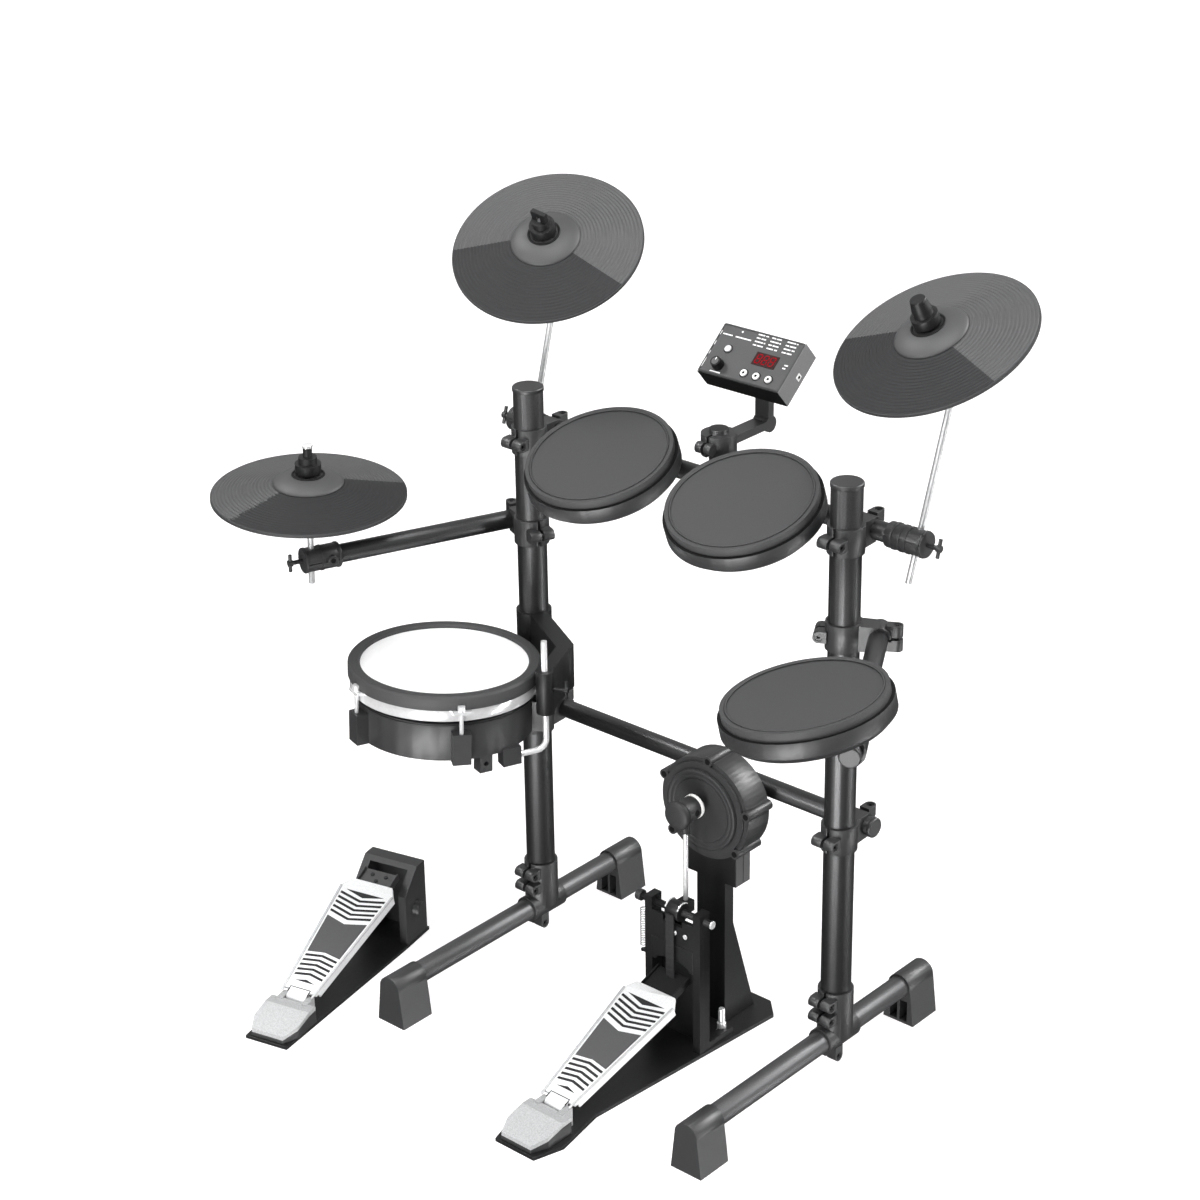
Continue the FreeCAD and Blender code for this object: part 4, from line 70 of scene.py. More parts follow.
FINISHES = {
    "black_tube": ((0.066, 0.066, 0.0675), (0.086, 0.086, 0.0875), 0.4, 0.95, 0.5, 900, 0.00003),
    "black_moulding": ((0.016, 0.016, 0.017), (0.026, 0.026, 0.027), 0.42, 0, 0.6, 1400, 0.00006),
    # black_steel also paints the shade in the gap under the snare's hoop
    "black_steel": ((0.005, 0.005, 0.0055), (0.011, 0.011, 0.0115), 0.42, 0, 0.3, 700, 0.00004),
    "floor_tube": ((0.075, 0.075, 0.077), (0.1, 0.1, 0.102), 0.45, 0.7, 0.5, 900, 0.00003),
    "chrome": ((0.88, 0.885, 0.89), (0.96, 0.96, 0.965), 0.18, 0.6, 0.5, 300, 0.00001),
    "rod_chrome": ((0.6, 0.605, 0.61), (0.72, 0.725, 0.73), 0.36, 0.75, 0.5, 300, 0.00001),
    "kick_rubber": ((0.016, 0.016, 0.017), (0.024, 0.024, 0.025), 0.55, 0, 0.3, 1800, 0.00008),
    "cymbal_rubber": ((0.02, 0.02, 0.021), (0.03, 0.03, 0.031), 0.6, 0, 0.3, 1600, 0.00005),
    "cymbal_light": ((0.058, 0.058, 0.059), (0.073, 0.073, 0.074), 0.55, 0, 0.25, 1600, 0.00004),
    "bell_grey": ((0.05, 0.05, 0.051), (0.063, 0.063, 0.064), 0.5, 0, 0.3, 1600, 0.00003),
    "cymbal_dark": ((0.014, 0.014, 0.015), (0.021, 0.021, 0.022), 0.6, 0, 0.2, 1600, 0.00004),
    "pad_rubber": ((0.036, 0.036, 0.037), (0.048, 0.048, 0.049), 0.6, 0, 0.3, 1800, 0.00008),
    "module_grey": ((0.029, 0.029, 0.03), (0.039, 0.039, 0.04), 0.5, 0, 0.3, 1500, 0.00005),
    "white_key": ((0.6, 0.6, 0.595), (0.7, 0.7, 0.69), 0.4, 0, 0.4, 900, 0.00003),
    "cast_silver": ((0.35, 0.354, 0.358), (0.5, 0.504, 0.508), 0.4, 0.35, 0.4, 650, 0.00009),
    "board_silver": ((0.66, 0.665, 0.67), (0.8, 0.805, 0.81), 0.42, 0.2, 0.4, 650, 0.00006),
    "strap_black": ((0.008, 0.008, 0.009), (0.018, 0.018, 0.019), 0.7, 0, 0.3, 1500, 0.0001),
    "spring_steel": ((0.6, 0.61, 0.62), (0.76, 0.77, 0.78), 0.25, 0.7, 0.5, 800, 0.00002),
    "felt_white": ((0.85, 0.85, 0.83), (0.93, 0.93, 0.91), 0.9, 0, 0.2, 2500, 0.0002),
    # grip_grey also paints the highlight on the volume knob's top
    "grip_grey": ((0.056, 0.056, 0.057), (0.073, 0.073, 0.074), 0.6, 0, 0.3, 1700, 0.00008),
    "print_white": ((0.7, 0.7, 0.7), (0.8, 0.8, 0.8), 0.5, 0, 0.3, 2000, 0.00002),
    "lens_black": ((0.012, 0.0015, 0.0015), (0.02, 0.002, 0.002), 0.4, 0, 0.08, 400, 0.00001),
    # case_black also paints shade: on the tom shells round the rubber, in the rings round the keys and inside
    # holes
    "case_black": ((0.002, 0.002, 0.002), (0.004, 0.004, 0.004), 0.5, 0, 0.15, 1500, 0.00005),
    "grey_key": ((0.34, 0.34, 0.345), (0.44, 0.44, 0.445), 0.35, 0, 0.5, 900, 0.00003),
    "case_side": ((0.12, 0.12, 0.121), (0.15, 0.15, 0.151), 0.5, 0, 0.3, 1500, 0.00005),
}
GRAIN_DETAIL = 6
PATCH_SCALE = 14
PATCH_SPREAD = 0.04
GRAIN_LOW_SHARE = 0.35
GRAIN_HIGH_SHARE = 0.65
RED_GLOW = (0.21, 0.002, 0.006)
RED_DIM = (0.16, 0.0015, 0.0045)
RED_STRENGTH = 0.14
MATT_ROUGHNESS = 0.9
WEAVE_SCALE = 1400
WEAVE_DEPTH = 0.0001
MESH_WHITE = (0.96, 0.96, 0.96)
MESH_SHADE = (0.86, 0.86, 0.86)

# Pieces whose look differs from the rest of their slot

LOOKS = {"kick_base_plate": "black_steel", "kick_tower": "black_steel", "pedal_frame": "black_steel",
         "hh_pedal_base": "black_steel", "kick_pad": "kick_rubber", "hi_hat_rod": "rod_chrome",
         "crash_rod": "rod_chrome", "ride_rod": "rod_chrome", "volume_knob": "case_black",
         "power_button": "grey_key", "base_tubes": "floor_tube", "kick_footboard": "board_silver",
         "hh_footboard": "board_silver", "crash_wing_nut": "black_steel", "ride_cap_nut": "black_steel",
         "hi_hat_clutch": "black_steel"}

# Edges of the CAD pieces

EDGE_WIDTHS = {"chrome": 0.0003, "cast_silver": 0.001, "pad_rubber": 0.0008, "white_key": 0.0005}
EDGE_WIDTH = 0.0007
EDGE_ANGLE = math.radians(40)
EDGE_STEPS = 2
WELD_REACH = 0.00001

# Cymbal skins: darker sector from one angle to another, in the cymbal's own frame, in degrees

SECTORS = {"crash": (210, 356.5), "ride": (188, 338), "hi_hat": (265, 418.5)}
CYMBAL_RADIUS = 0.127
CYMBAL_EDGE = 0.004
CYMBAL_BOW = 0.015
CYMBAL_BELL = 0.046
BELL_RISE = 0.012
BELL_FLAT = 0.018
BELL_HOLE = 0.0075
ROCK_HEIGHT = 0.0285
RIM_LAND = 0.0012
RIDGES = 17
RIDGE_HEIGHT = 0.0011
DARK_RIDGES = {"crash": 0.0006, "ride": 0.0007, "hi_hat": 0.0003}
RIDGE_SHARES = ((0, 0), (0.15, 0.05), (0.4, 0.55), (0.6, 0.95), (0.75, 1), (0.9, 0.6))
BELL_SHARES = ((0, 0), (0.08, 0.2), (0.22, 0.45), (0.4, 0.68), (0.62, 0.87), (0.82, 0.97), (1, 1))
WASHER_INNER = 0.0184
WASHER_OUTER = 0.0218
WASHER_HEIGHT = 0.0013
WASHER_STEPS = 10
ROUND_STEPS = 180
DISC_STEPS = 32
FULL_TURN = 360

# Rod clamps: bands along the bar from the rod, and the bolt head on the hi-hat's clamp

CLAMP_BANDS = {"crash": (0.0095, -0.0105), "ride": (-0.03, -0.0185, -0.0095, 0.0105),
               "hi_hat": (-0.0355, -0.0125, 0.0095)}
HI_HAT_RISE = 0.091
ARM_TURN = math.radians(22.5)
LUG_PLACE = -0.024
LUG_RADIUS = 0.0068
LUG_SINK = -0.002
LUG_PROUD = 0.0026
LUG_HOLE = 0.0034
CLAMP_RADIUS = 0.0165
BAND_PROUD = 0.0008
BAND_HALF = 0.0016

# Tom pads

PADS = ("tom_1", "tom_2", "floor_tom")
FACE_LINE_SHARE = 0.93
FACE_LINE_HALF = 0.0012
FACE_LINE_RISE = 0.0005
PAD_RAISE = 0.011
# Width of the painted shade on the shell's rim round each pad's rubber
SHADE_LEDGE_WIDTH = 0.0041

# Footboards, in the board's own frame: hinge at the origin, y toward the toe, z off the board

BOARDS = {"kick_board": "kick_pedal", "hh_board": "hh_pedal"}
BOARD_SLOPE = math.radians(19.3)
BOARD_TOP = 0.007
BOARD_LENGTH = 0.196
HEEL_HALF = 0.026
TOE_HALF = 0.0435
RAIL_WIDTH = 0.0035
RAIL_HEIGHT = 0.0016
STRIP_SINK = 0.0006
STRIP_PROUD = 0.0007
STRIP_WIDTH = 0.0038
STRIP_PITCH = 0.0085
STRIP_COUNT = 5
STRIP_INSET = 0.0062
TOE_START = 0.148
TOE_DIP = -0.0085
TOE_CAP = 0.1905
HEEL_START = 0.0306
HEEL_DIP = 0.0045
HEEL_CAP = 0.0225
INSERT_FROM = 0.073
INSERT_TO = 0.14
GAP_AT = 0.0105
GAP_HALF = 0.0165
GAP_LEG = 0.009
GAP_WIDTH = 0.0013
BOLT_RADIUS = 0.0032
BOLT_HEIGHT = 0.0016
TONGUE_HALF = 0.0254
TONGUE_UNDER = -0.0044
TONGUE_OVER = 0.0024
TONGUE_FROM = 0.2125
TONGUE_ENDS = {"kick_board": 0.2505, "hh_board": 0.238}
TONGUE_LOOKS = {"kick_board": "black_steel", "hh_board": "black_moulding"}
FLANGE_WIDTH = 0.002
FLANGE_HEIGHT = 0.0042
TONGUE_BOLT_PLACES = ((-0.011, 0.2295), (0.011, 0.2295), (0, 0.2195))
BOLT_STEPS = 20

# Heel plates, in the level frame at the hinge

HEEL_SIDE = 0.0356
HEEL_NOSE = 0.0256
HEEL_BACK = -0.0102
HEEL_FLAT = -0.0265
HEEL_WAIST = -0.0542
HEEL_FRONT = -0.0766
HEEL_BED = -0.0225
HEEL_HIGH = 0.0185
HEEL_LOW = 0.0055

# Module panel, in shares of the panel from its top left corner

PANEL_WIDTH = 0.13
PANEL_DEPTH = 0.075
PANEL_RISE = 0.045
PANEL_SINK = 0.0008
PRINT_HEIGHT = 0.00025
PRINT_ROW = 0.0016
LENS_SHARES = (0.541, 0.82, 0.373, 0.626)
LENS_HEIGHT = 0.0006
DIGITS = 3
DIGIT_WIDTH = 0.0068
DIGIT_HEIGHT = 0.0125
DIGIT_STEP = 0.0105
DIGIT_LEAN = 0.12
SEGMENT = 0.0013
SEGMENT_GAP = 0.0004
LIST_COLUMN_SHARES = ((0.445, 0.571), (0.6125, 0.74), (0.8, 0.93))
LIST_ROW_SHARES = (0.06, 0.13, 0.2, 0.27)
LABEL_SHARES = ((0.055, 0.17, 0.21), (0.21, 0.4, 0.21), (0.143, 0.27, 0.94), (0.91, 0.95, 0.49),
                (0.905, 0.94, 0.55))
EDGE_SHARES = ((0.16, 0.24), (0.37, 0.45), (0.58, 0.64), (0.72, 0.9))
EDGE_PLACE_SHARE = 0.025
EDGE_COLUMN = 0.0012
LED_SHARES = (0.258, 0.095)
LED_RADIUS = 0.0014
WORD_SHARES = (((0, 0.62), (0.74, 1)), ((0, 0.36), (0.46, 0.9)),
               ((0, 0.78), (0.87, 1)), ((0, 0.3), (0.4, 0.96)))
# Painted highlight on the volume knob's top: a paler disc
KNOB_HIGHLIGHT_RADIUS = 0.0049
KNOB_HIGHLIGHT_HEIGHT = 0.0006
POINTER_HALF = 0.0005
POINTER_FROM = 0.0016
KEY_DOT_RADIUS = 0.0019
KEY_DOT_RISE = 0.00035
# Width of the painted shade ring round each push button
KEY_SHADE_WIDTH = 0.0018
CASE_DEPTH = 0.033
SKIRT_PROUD = 0.0005
SKIRT_TOP = -0.0012
PORT_PLACE_SHARE = 0.65
PORT_HALF = 0.0042
PORT_HOLE_HALF = 0.0018
PORT_PROUD = 0.0006

# Snare head

HEAD_RADIUS = 0.119
HEAD_THICK = 0.0008
HEAD_RINGS = 12
SHELL_RADIUS = 0.118
SHELL_TOP = -0.034
# Painted shade under the hoop: a round dark bead on the shell
GAP_SHADE_REACH = 0.0026
GAP_SHADE_STEPS = 12
SNARE_TILT = math.radians(3)
SNARE_CENTRE = Vector((-0.2432, -0.04975, 0.502))
SNARE_PLACE = Matrix.Translation(SNARE_CENTRE) @ Matrix.Rotation(-SNARE_TILT, 4, "X")

# Kick pedal, beater and tower

STRAP_HALF = 0.0068
STRAP_THICK = 0.0018
STRAP_STEPS = 40
STRAP_RIB = 0.0003
STRAP_RIB_EVERY = 4
SPRING_RADIUS = 0.005
SPRING_WIRE = 0.0009
SPRING_TURNS = 16
SPRING_STEPS = 24
WIRE_SIDES = 8
FELT_DEPTH = 0.0055
FELT_PROUD = 0.0004
TIP_PROFILE = ((0, 0.0036), (0.01, 0.0032), (0.0155, 0.0022), (0.0182, 0.001), (0.0196, -0.0012),
               (0.0199, -0.004), (0.0192, -0.0068), (0.0174, -0.009), (0.0163, -0.0102), (0.0157, -0.0104),
               (0.0157, -0.003), (0, -0.003))
# Painted shade of the hole in the beater's side
SIDE_HOLE_RADIUS = 0.0042
SIDE_HOLE_SINK = 0.0008
SIDE_HOLE_SHARE = 0.62
BOSS_REACH = 0.072
BOSS_TURNS = (84, 10, -43, 223, 156)
SCREW_RADIUS = 0.0042
SCREW_PROUD = 0.0005
CHEEK_FOOT = 0.2228
CHEEK_TOP = 0.281
CHEEK_PROUD = 0.0006
CHEEK_SPANS = ((0.0008, 0.0142), (0.016, 0.0292))
# Bright rims on the beater's cam, partly painted highlight
CAM_INNER = 0.0126
CAM_OUTER = 0.0142
CAM_SIDES = ((-0.0112, -0.0094), (0.0094, 0.0112))
CAM_FROM = math.radians(50)
CAM_TO = math.radians(150)
CAM_STEPS = 14
PAD_RING_PROFILE = ((0.0568, 0), (0.0562, 0.0014), (0.0525, 0.0016), (0.0512, 0.0006),
                    (0.0498, 0.0006), (0.0485, 0.0012), (0.046, 0.0007), (0.0445, 0.0001),
                    (0.0445, -0.0003), (0.0568, -0.0003))
PLATE_HALF = 0.0355
PLATE_TOP = 0.159
PLATE_FOOT = 0.125
ARCH_HALF = 0.0285
ARCH_RISE = 0.01
ARCH_STEPS = 12
PLATE_THICK = 0.0045
WEB_NEAR = -0.001
WEB_FAR = -0.0055
WEB_SIDE_TOP = 0.1972
WEB_NOTCH = 0.0165
WEB_NOTCH_TOP = 0.184
BACK_LEFT = 0.047
BACK_TOP = 0.181
BACK_NEAR = 0.056
BACK_FAR = 0.059
BACK_FOOT = 0.0048
FRAME_BOLTS = ((0.0827, 0.1785), (0.1005, 0.1785))
FRAME_BOLT_RADIUS = 0.0034
FRAME_BOLT_HEIGHT = 0.0022
SPUR_PLACE = Vector((0.1125, 0.0905, 0.005))
SPUR_PROFILE = ((0, 0), (0.0085, 0), (0.0085, 0.003), (0.0062, 0.0045), (0.0062, 0.017),
                (0.0048, 0.0185), (0.0048, 0.036), (0.004, 0.039), (0, 0.039))
SPUR_STEPS = 32
CAP_RADIUS = 0.0056
CAP_THICK = 0.002
AXLE_KNOB_RADIUS = 0.0078
AXLE_KNOB_LENGTH = 0.008
NUT_RADIUS = 0.0072
NUT_HEIGHT = 0.004
NUT_SIDES = 6

# Floor, light and camera

FLOOR_REACH = 30
WALL_REACH = 29
WALL_HEIGHT = 40
WALL_THICK = 0.5
WALL_STEPS = 64
WALL_GLOW = (1, 0.99, 0.993)
WALL_GLOW_STRENGTH = 1
STAGE_SHADE = (0.5, 0.495, 0.497)
STAGE_PALE = (0.506, 0.501, 0.503)
FLOOR_GLOW = (1, 0.985, 0.99)
FLOOR_GLOW_STRENGTH = 0.8
SKY_RAMP = {"From Min": -0.1, "From Max": 0.15, "To Min": 0.06, "To Max": 0.6}

# Lamps: place, size and power; fills show in no reflection and glints only there

LIGHTS = (
    ("front", (-0.9, -4.2, 2.2), (1.2, 1.6), 95),
    ("top", (0.9, -0.9, 4.4), (2.6, 2.6), 190),
    ("right", (3.6, 2.0, 2.4), (1.2, 1.2), 55),
    ("left fill", (1.46, -4.25, -1.5), (0.7, 2.6), 140),
    ("right fill", (4.06, 1.94, -1.5), (0.4, 2.6), 32),
    ("left glint", (1.46, -4.25, -1.5), (1.8, 2.6), 350),
    ("right glint", (4.06, 1.94, -1.5), (0.8, 2.6), 120),
    ("tube glint", (1.7, 2.9, 2.6), (1.6, 1.6), 150),
    ("bar glint", (-2.4, -0.9, 3.6), (0.8, 0.8), 80),
)
FILLS = ("left fill", "right fill")
GLINTS = ("left glint", "right glint", "tube glint", "bar glint")
LIGHT_AIM = Vector((0, 0, 0.5))
CAMERA_PLACE = Vector((2.12213, -2.38558, 2.10834))
CAMERA_TURN = math.radians(41.82)
CAMERA_FALL = math.radians(24.64)
CAMERA_ROLL = math.radians(-0.97)
CAMERA_LENS = 84.285
CAMERA_SENSOR = 36


# Materials


def blank_material(name):
    """New material with its nodes, links and main shader."""
    material = bpy.data.materials.new(name)
    material.use_nodes = True
    tree = material.node_tree
    return material, tree.nodes, tree.links, tree.nodes["Principled BSDF"]


def object_noise(nodes, links, scale):
    """Noise fixed to the object's own coordinates."""
    place = nodes.new("ShaderNodeTexCoord")
    noise = nodes.new("ShaderNodeTexNoise")
    noise.inputs["Scale"].default_value = scale
    noise.inputs["Detail"].default_value = GRAIN_DETAIL
    links.new(place.outputs["Object"], noise.inputs["Vector"])
    return noise


def base_ramp(nodes, links, shader, source, low, high):
    """Base colour that goes from one tone to another over the middle of a texture."""
    ramp = nodes.new("ShaderNodeValToRGB")
    ramp.color_ramp.elements[0].position = GRAIN_LOW_SHARE
    ramp.color_ramp.elements[1].position = GRAIN_HIGH_SHARE
    ramp.color_ramp.elements[0].color = (*low, 1)
    ramp.color_ramp.elements[1].color = (*high, 1)
    links.new(source, ramp.inputs["Fac"])
    links.new(ramp.outputs["Color"], shader.inputs["Base Color"])
    return ramp


def add_bump(nodes, links, shader, source, depth):
    """Bump of a given depth on a shader."""
    bump = nodes.new("ShaderNodeBump")
    bump.inputs["Distance"].default_value = depth
    links.new(source, bump.inputs["Height"])
    links.new(bump.outputs["Normal"], shader.inputs["Normal"])


def finish_material(name):
    """Surface with grain in its colour, patches in its gloss and a fine bump."""
    low, high, roughness, metal, sheen, scale, depth = FINISHES[name]
    material, nodes, links, shader = blank_material(name)
    grain = object_noise(nodes, links, scale)
    patch = object_noise(nodes, links, PATCH_SCALE)
    base_ramp(nodes, links, shader, grain.outputs["Fac"], low, high)
    gloss = nodes.new("ShaderNodeMapRange")
    gloss.inputs["To Min"].default_value = roughness - PATCH_SPREAD / 2
    gloss.inputs["To Max"].default_value = roughness + PATCH_SPREAD / 2
    links.new(patch.outputs["Fac"], gloss.inputs["Value"])
    links.new(gloss.outputs["Result"], shader.inputs["Roughness"])
    shader.inputs["Metallic"].default_value = metal
    shader.inputs["Specular IOR Level"].default_value = sheen
    add_bump(nodes, links, shader, grain.outputs["Fac"], depth)
    return material


def glow_material():
    """Lit red of the display, slightly uneven."""
    material, nodes, links, shader = blank_material("display_red")
    noise = object_noise(nodes, links, PATCH_SCALE)
    ramp = base_ramp(nodes, links, shader, noise.outputs["Fac"], RED_DIM, RED_GLOW)
    links.new(ramp.outputs["Color"], shader.inputs["Emission Color"])
    shader.inputs["Emission Strength"].default_value = RED_STRENGTH
    shader.inputs["Specular IOR Level"].default_value = 0
    return material


def weave_material():
    """White mesh head: two crossing sets of fine threads."""
    material, nodes, links, shader = blank_material("mesh_white")
    place = nodes.new("ShaderNodeTexCoord")
    threads = []
    for direction in ("X", "Y"):
        wave = nodes.new("ShaderNodeTexWave")
        wave.bands_direction = direction
        wave.inputs["Scale"].default_value = WEAVE_SCALE
        links.new(place.outputs["Object"], wave.inputs["Vector"])
        threads.append(wave)
    cross = nodes.new("ShaderNodeMath")
    cross.operation = "MAXIMUM"
    for socket, wave in zip(cross.inputs, threads):
        links.new(wave.outputs["Fac"], socket)
    base_ramp(nodes, links, shader, cross.outputs["Value"], MESH_SHADE, MESH_WHITE)
    shader.inputs["Roughness"].default_value = MATT_ROUGHNESS
    add_bump(nodes, links, shader, cross.outputs["Value"], WEAVE_DEPTH)
    return material


def stage_material(name, glow, strength):
    """Pale studio surface with a glow of its own and a faint unevenness."""
    material, nodes, links, shader = blank_material(name)
    noise = object_noise(nodes, links, PATCH_SCALE)
    base_ramp(nodes, links, shader, noise.outputs["Fac"], STAGE_SHADE, STAGE_PALE)
    shader.inputs["Roughness"].default_value = MATT_ROUGHNESS
    shader.inputs["Specular IOR Level"].default_value = 0
    shader.inputs["Emission Color"].default_value = (*glow, 1)
    shader.inputs["Emission Strength"].default_value = strength
    return material


MATERIALS = {name: finish_material(name) for name in FINISHES}
MATERIALS["display_red"] = glow_material()
MATERIALS["mesh_white"] = weave_material()


# Shapes: each gives points and faces in a local frame


def lathe(profile, steps=ROUND_STEPS):
    """Closed outline of (radius, height) turned round z."""
    points = []
    faces = []
    count = len(profile)
    for step in range(steps):
        angle = math.tau * step / steps
        points += [Vector((r * math.cos(angle), r * math.sin(angle), z)) for r, z in profile]
    for step in range(steps):
        here = step * count
        there = (step + 1) % steps * count
        for k in range(count):
            after = (k + 1) % count
            faces.append((here + k, there + k, there + after, here + after))
    return points, faces


def ring(inner, outer, low, high, steps=ROUND_STEPS):
    """Turned band with a rectangular section."""
    return lathe([(inner, low), (outer, low), (outer, high), (inner, high)], steps)


def tube(rings):
    """Skin over a row of rings of points, closed at both ends."""
    count = len(rings[0])
    points = [point for some in rings for point in some]
    last = len(points) - count
    faces = [tuple(reversed(range(count))), tuple(range(last, last + count))]
    for start in range(0, last, count):
        for k in range(count):
            after = (k + 1) % count
            faces.append((start + k, start + after, start + after + count, start + k + count))
    return points, faces


def slab(outline, low, high):
    """Flat outline of (x, y) raised from one height to another."""
    return tube([[Vector((x, y, z)) for x, y in outline] for z in (low, high)])


def block(x_low, x_high, y_low, y_high, low, high):
    """Upright slab with a rectangular outline."""
    return slab([(x_low, y_low), (x_high, y_low), (x_high, y_high), (x_low, y_high)], low, high)


def oval(x, y, wide, tall, steps):
    """Points round an oval, from its middle and its two half widths."""
    turns = [math.tau * k / steps for k in range(steps)]
    return [(x + wide * math.cos(turn), y + tall * math.sin(turn)) for turn in turns]


def disc(radius, low, high, centre=(0, 0), steps=DISC_STEPS):
    """Slab with a round outline."""
    return slab(oval(centre[0], centre[1], radius, radius, steps), low, high)


def bolt_heads(radius, low, high, spots):
    """Equal round heads at several spots."""
    return joined([disc(radius, low, high, spot, BOLT_STEPS) for spot in spots])


def joined(shapes):
    """Several shapes as one list of points and one of faces."""
    points = []
    faces = []
    for some_points, some_faces in shapes:
        start = len(points)
        points += some_points
        faces += [tuple(start + k for k in face) for face in some_faces]
    return points, faces


def mesh_object(name, shape, place, material):
    """Mesh object made from a shape and put in place."""
    points, faces = shape
    mesh = bpy.data.meshes.new(name)
    mesh.from_pydata([place @ point for point in points], [], faces)
    mesh.materials.append(material)
    face_outward(mesh)
    made = bpy.data.objects.new(name, mesh)
    bpy.context.scene.collection.objects.link(made)
    return made


def piece(name, shape, place, material, body, edge=0):
    made = mesh_object(name, shape, place, MATERIALS[material])
    if body:
        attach(made, body)
    if edge:
        soften(made, edge)
    return made


def soften(made, width):
    """Round the sharp edges of a piece."""
    bevel = made.modifiers.new("rounded edges", "BEVEL")
    bevel.width = width
    bevel.segments = EDGE_STEPS
    bevel.limit_method = "ANGLE"
    bevel.angle_limit = EDGE_ANGLE
    bevel.harden_normals = True


def smooth(made):
    """Shade a curved piece smoothly."""
    made.data.polygons.foreach_set("use_smooth", [True] * len(made.data.polygons))
    return made


def close_poles(made):
    """Join the points that meet on a turned piece's axis."""
    shape = bmesh.new()
    shape.from_mesh(made.data)
    bmesh.ops.remove_doubles(shape, verts=shape.verts, dist=WELD_REACH)
    shape.to_mesh(made.data)
    shape.free()
    return made


def face_outward(mesh):
    """Turn the faces of a mesh outward."""
    shape = bmesh.new()
    shape.from_mesh(mesh)
    bmesh.ops.recalc_face_normals(shape, faces=shape.faces)
    shape.to_mesh(mesh)
    shape.free()


def axes_at(origin, x, y):
    """Matrix of a local frame with its x and y directions."""
    turn = Matrix((x, y, x.cross(y))).transposed().to_4x4()
    return Matrix.Translation(origin) @ turn


def node_span(node, place):
    """Lowest and highest corner of a CAD node in a local frame."""
    inverse = place.inverted()
    spots = [inverse @ vertex.co for vertex in frame["nodes"][node].data.vertices]
    return [Vector([pick(values) for values in zip(*spots)]) for pick in (min, max)]


# CAD pieces


def finish_cad_pieces():
    """Every CAD node gets its slot's finish and rounded edges."""
    for part in frame["record"]["subparts"]:
        node = frame["nodes"][part["node"]]
        slot = part["material_slot"]
        node.data.materials.clear()
        node.data.materials.append(MATERIALS[LOOKS.get(part["node"], slot)])
        weld = node.modifiers.new("joined edges", "WELD")
        weld.merge_threshold = WELD_REACH
        soften(node, EDGE_WIDTHS.get(slot, EDGE_WIDTH))


# Cymbals


def cymbal_place(name):
    """Local frame of a cymbal: rim at z 0, jack toward y."""
    x = Vector(JOINTS[name + "_rock"]["axis"]).normalized()
    y = Vector(MOUNTS[name + "_jack"]["axis"]).normalized()
    z = x.cross(y)
    return axes_at(Vector(JOINTS[name + "_rock"]["pos_m"]) - z * ROCK_HEIGHT, x, y)


def bow_height(radius):
    """Height of the cymbal's upper face at a radius."""
    return CYMBAL_EDGE + CYMBAL_BOW * (CYMBAL_RADIUS - radius) / (CYMBAL_RADIUS - CYMBAL_BELL)


def in_sector(name, spot):
    """Whether a point in the cymbal's frame lies in its darker sector."""
    start, end = SECTORS[name]
    angle = math.degrees(math.atan2(spot.y, spot.x))
    return (angle - start) % FULL_TURN < end - start


def ridge_profile(height):
    """Ridged upper face and a flat hidden underside."""
    outer = CYMBAL_RADIUS - RIM_LAND
    pitch = (outer - CYMBAL_BELL) / RIDGES
    profile = []
    for ridge in range(RIDGES):
        for along, lift in RIDGE_SHARES:
            radius = CYMBAL_BELL + pitch * (ridge + along)
            profile.append((radius, bow_height(radius) + height * lift))
    return profile + [(outer, bow_height(outer) - SKIN), (CYMBAL_BELL, bow_height(CYMBAL_BELL) - SKIN)]


def bell_profile():
    """Rounded bell that covers the straight one."""
    low = bow_height(CYMBAL_BELL)
    top = low + BELL_RISE
    profile = []
    for along, lift in BELL_SHARES:
        radius = CYMBAL_BELL + (BELL_FLAT - CYMBAL_BELL) * along
        profile.append((radius, low + RIDGE_HEIGHT + (BELL_RISE - RIDGE_HEIGHT) * max(lift, along)))
    return profile + [(BELL_HOLE, top), (BELL_HOLE, top - SKIN), (BELL_FLAT, top - SKIN),
                      (CYMBAL_BELL, low - SKIN)]


def washer_profile():
    """Rounded rubber washer on top of the bell."""
    low = bow_height(CYMBAL_BELL) + BELL_RISE
    middle = (WASHER_INNER + WASHER_OUTER) / 2
    return oval(middle, low, WASHER_OUTER - middle, WASHER_HEIGHT, WASHER_STEPS)


def skin_cymbal(name):
    """Ridged playing face in two tones and a smooth bell."""
    place = cymbal_place(name)
    body = name + "_pad"
    points, faces = lathe(ridge_profile(RIDGE_HEIGHT))
    flatter = lathe(ridge_profile(DARK_RIDGES[name]))[0]
    points = [low if in_sector(name, low) else high for high, low in zip(points, flatter)]
    face = piece(name + "_face", (points, faces), place, "cymbal_light", body)
    face.data.materials.append(MATERIALS["cymbal_dark"])
    inverse = place.inverted()
    for polygon in face.data.polygons:
        if in_sector(name, inverse @ polygon.center):
            polygon.material_index = 1
    smooth(face)
    smooth(piece(name + "_bell", lathe(bell_profile()), place, "bell_grey", body))
    smooth(piece(name + "_washer", lathe(washer_profile()), place, "case_black", body))


def clamp_place(name):
    """Local frame of a rod clamp: rod across the origin, z along the bar."""
    if name == "hi_hat":
        along = Vector((-math.sin(ARM_TURN), -math.cos(ARM_TURN), 0))
        return axes_at(cymbal_place(name) @ Vector((0, 0, -HI_HAT_RISE)), UP.cross(along), UP)
    return axes_at(Vector(JOINTS[name + "_tilt"]["pos_m"]), AWAY, UP)


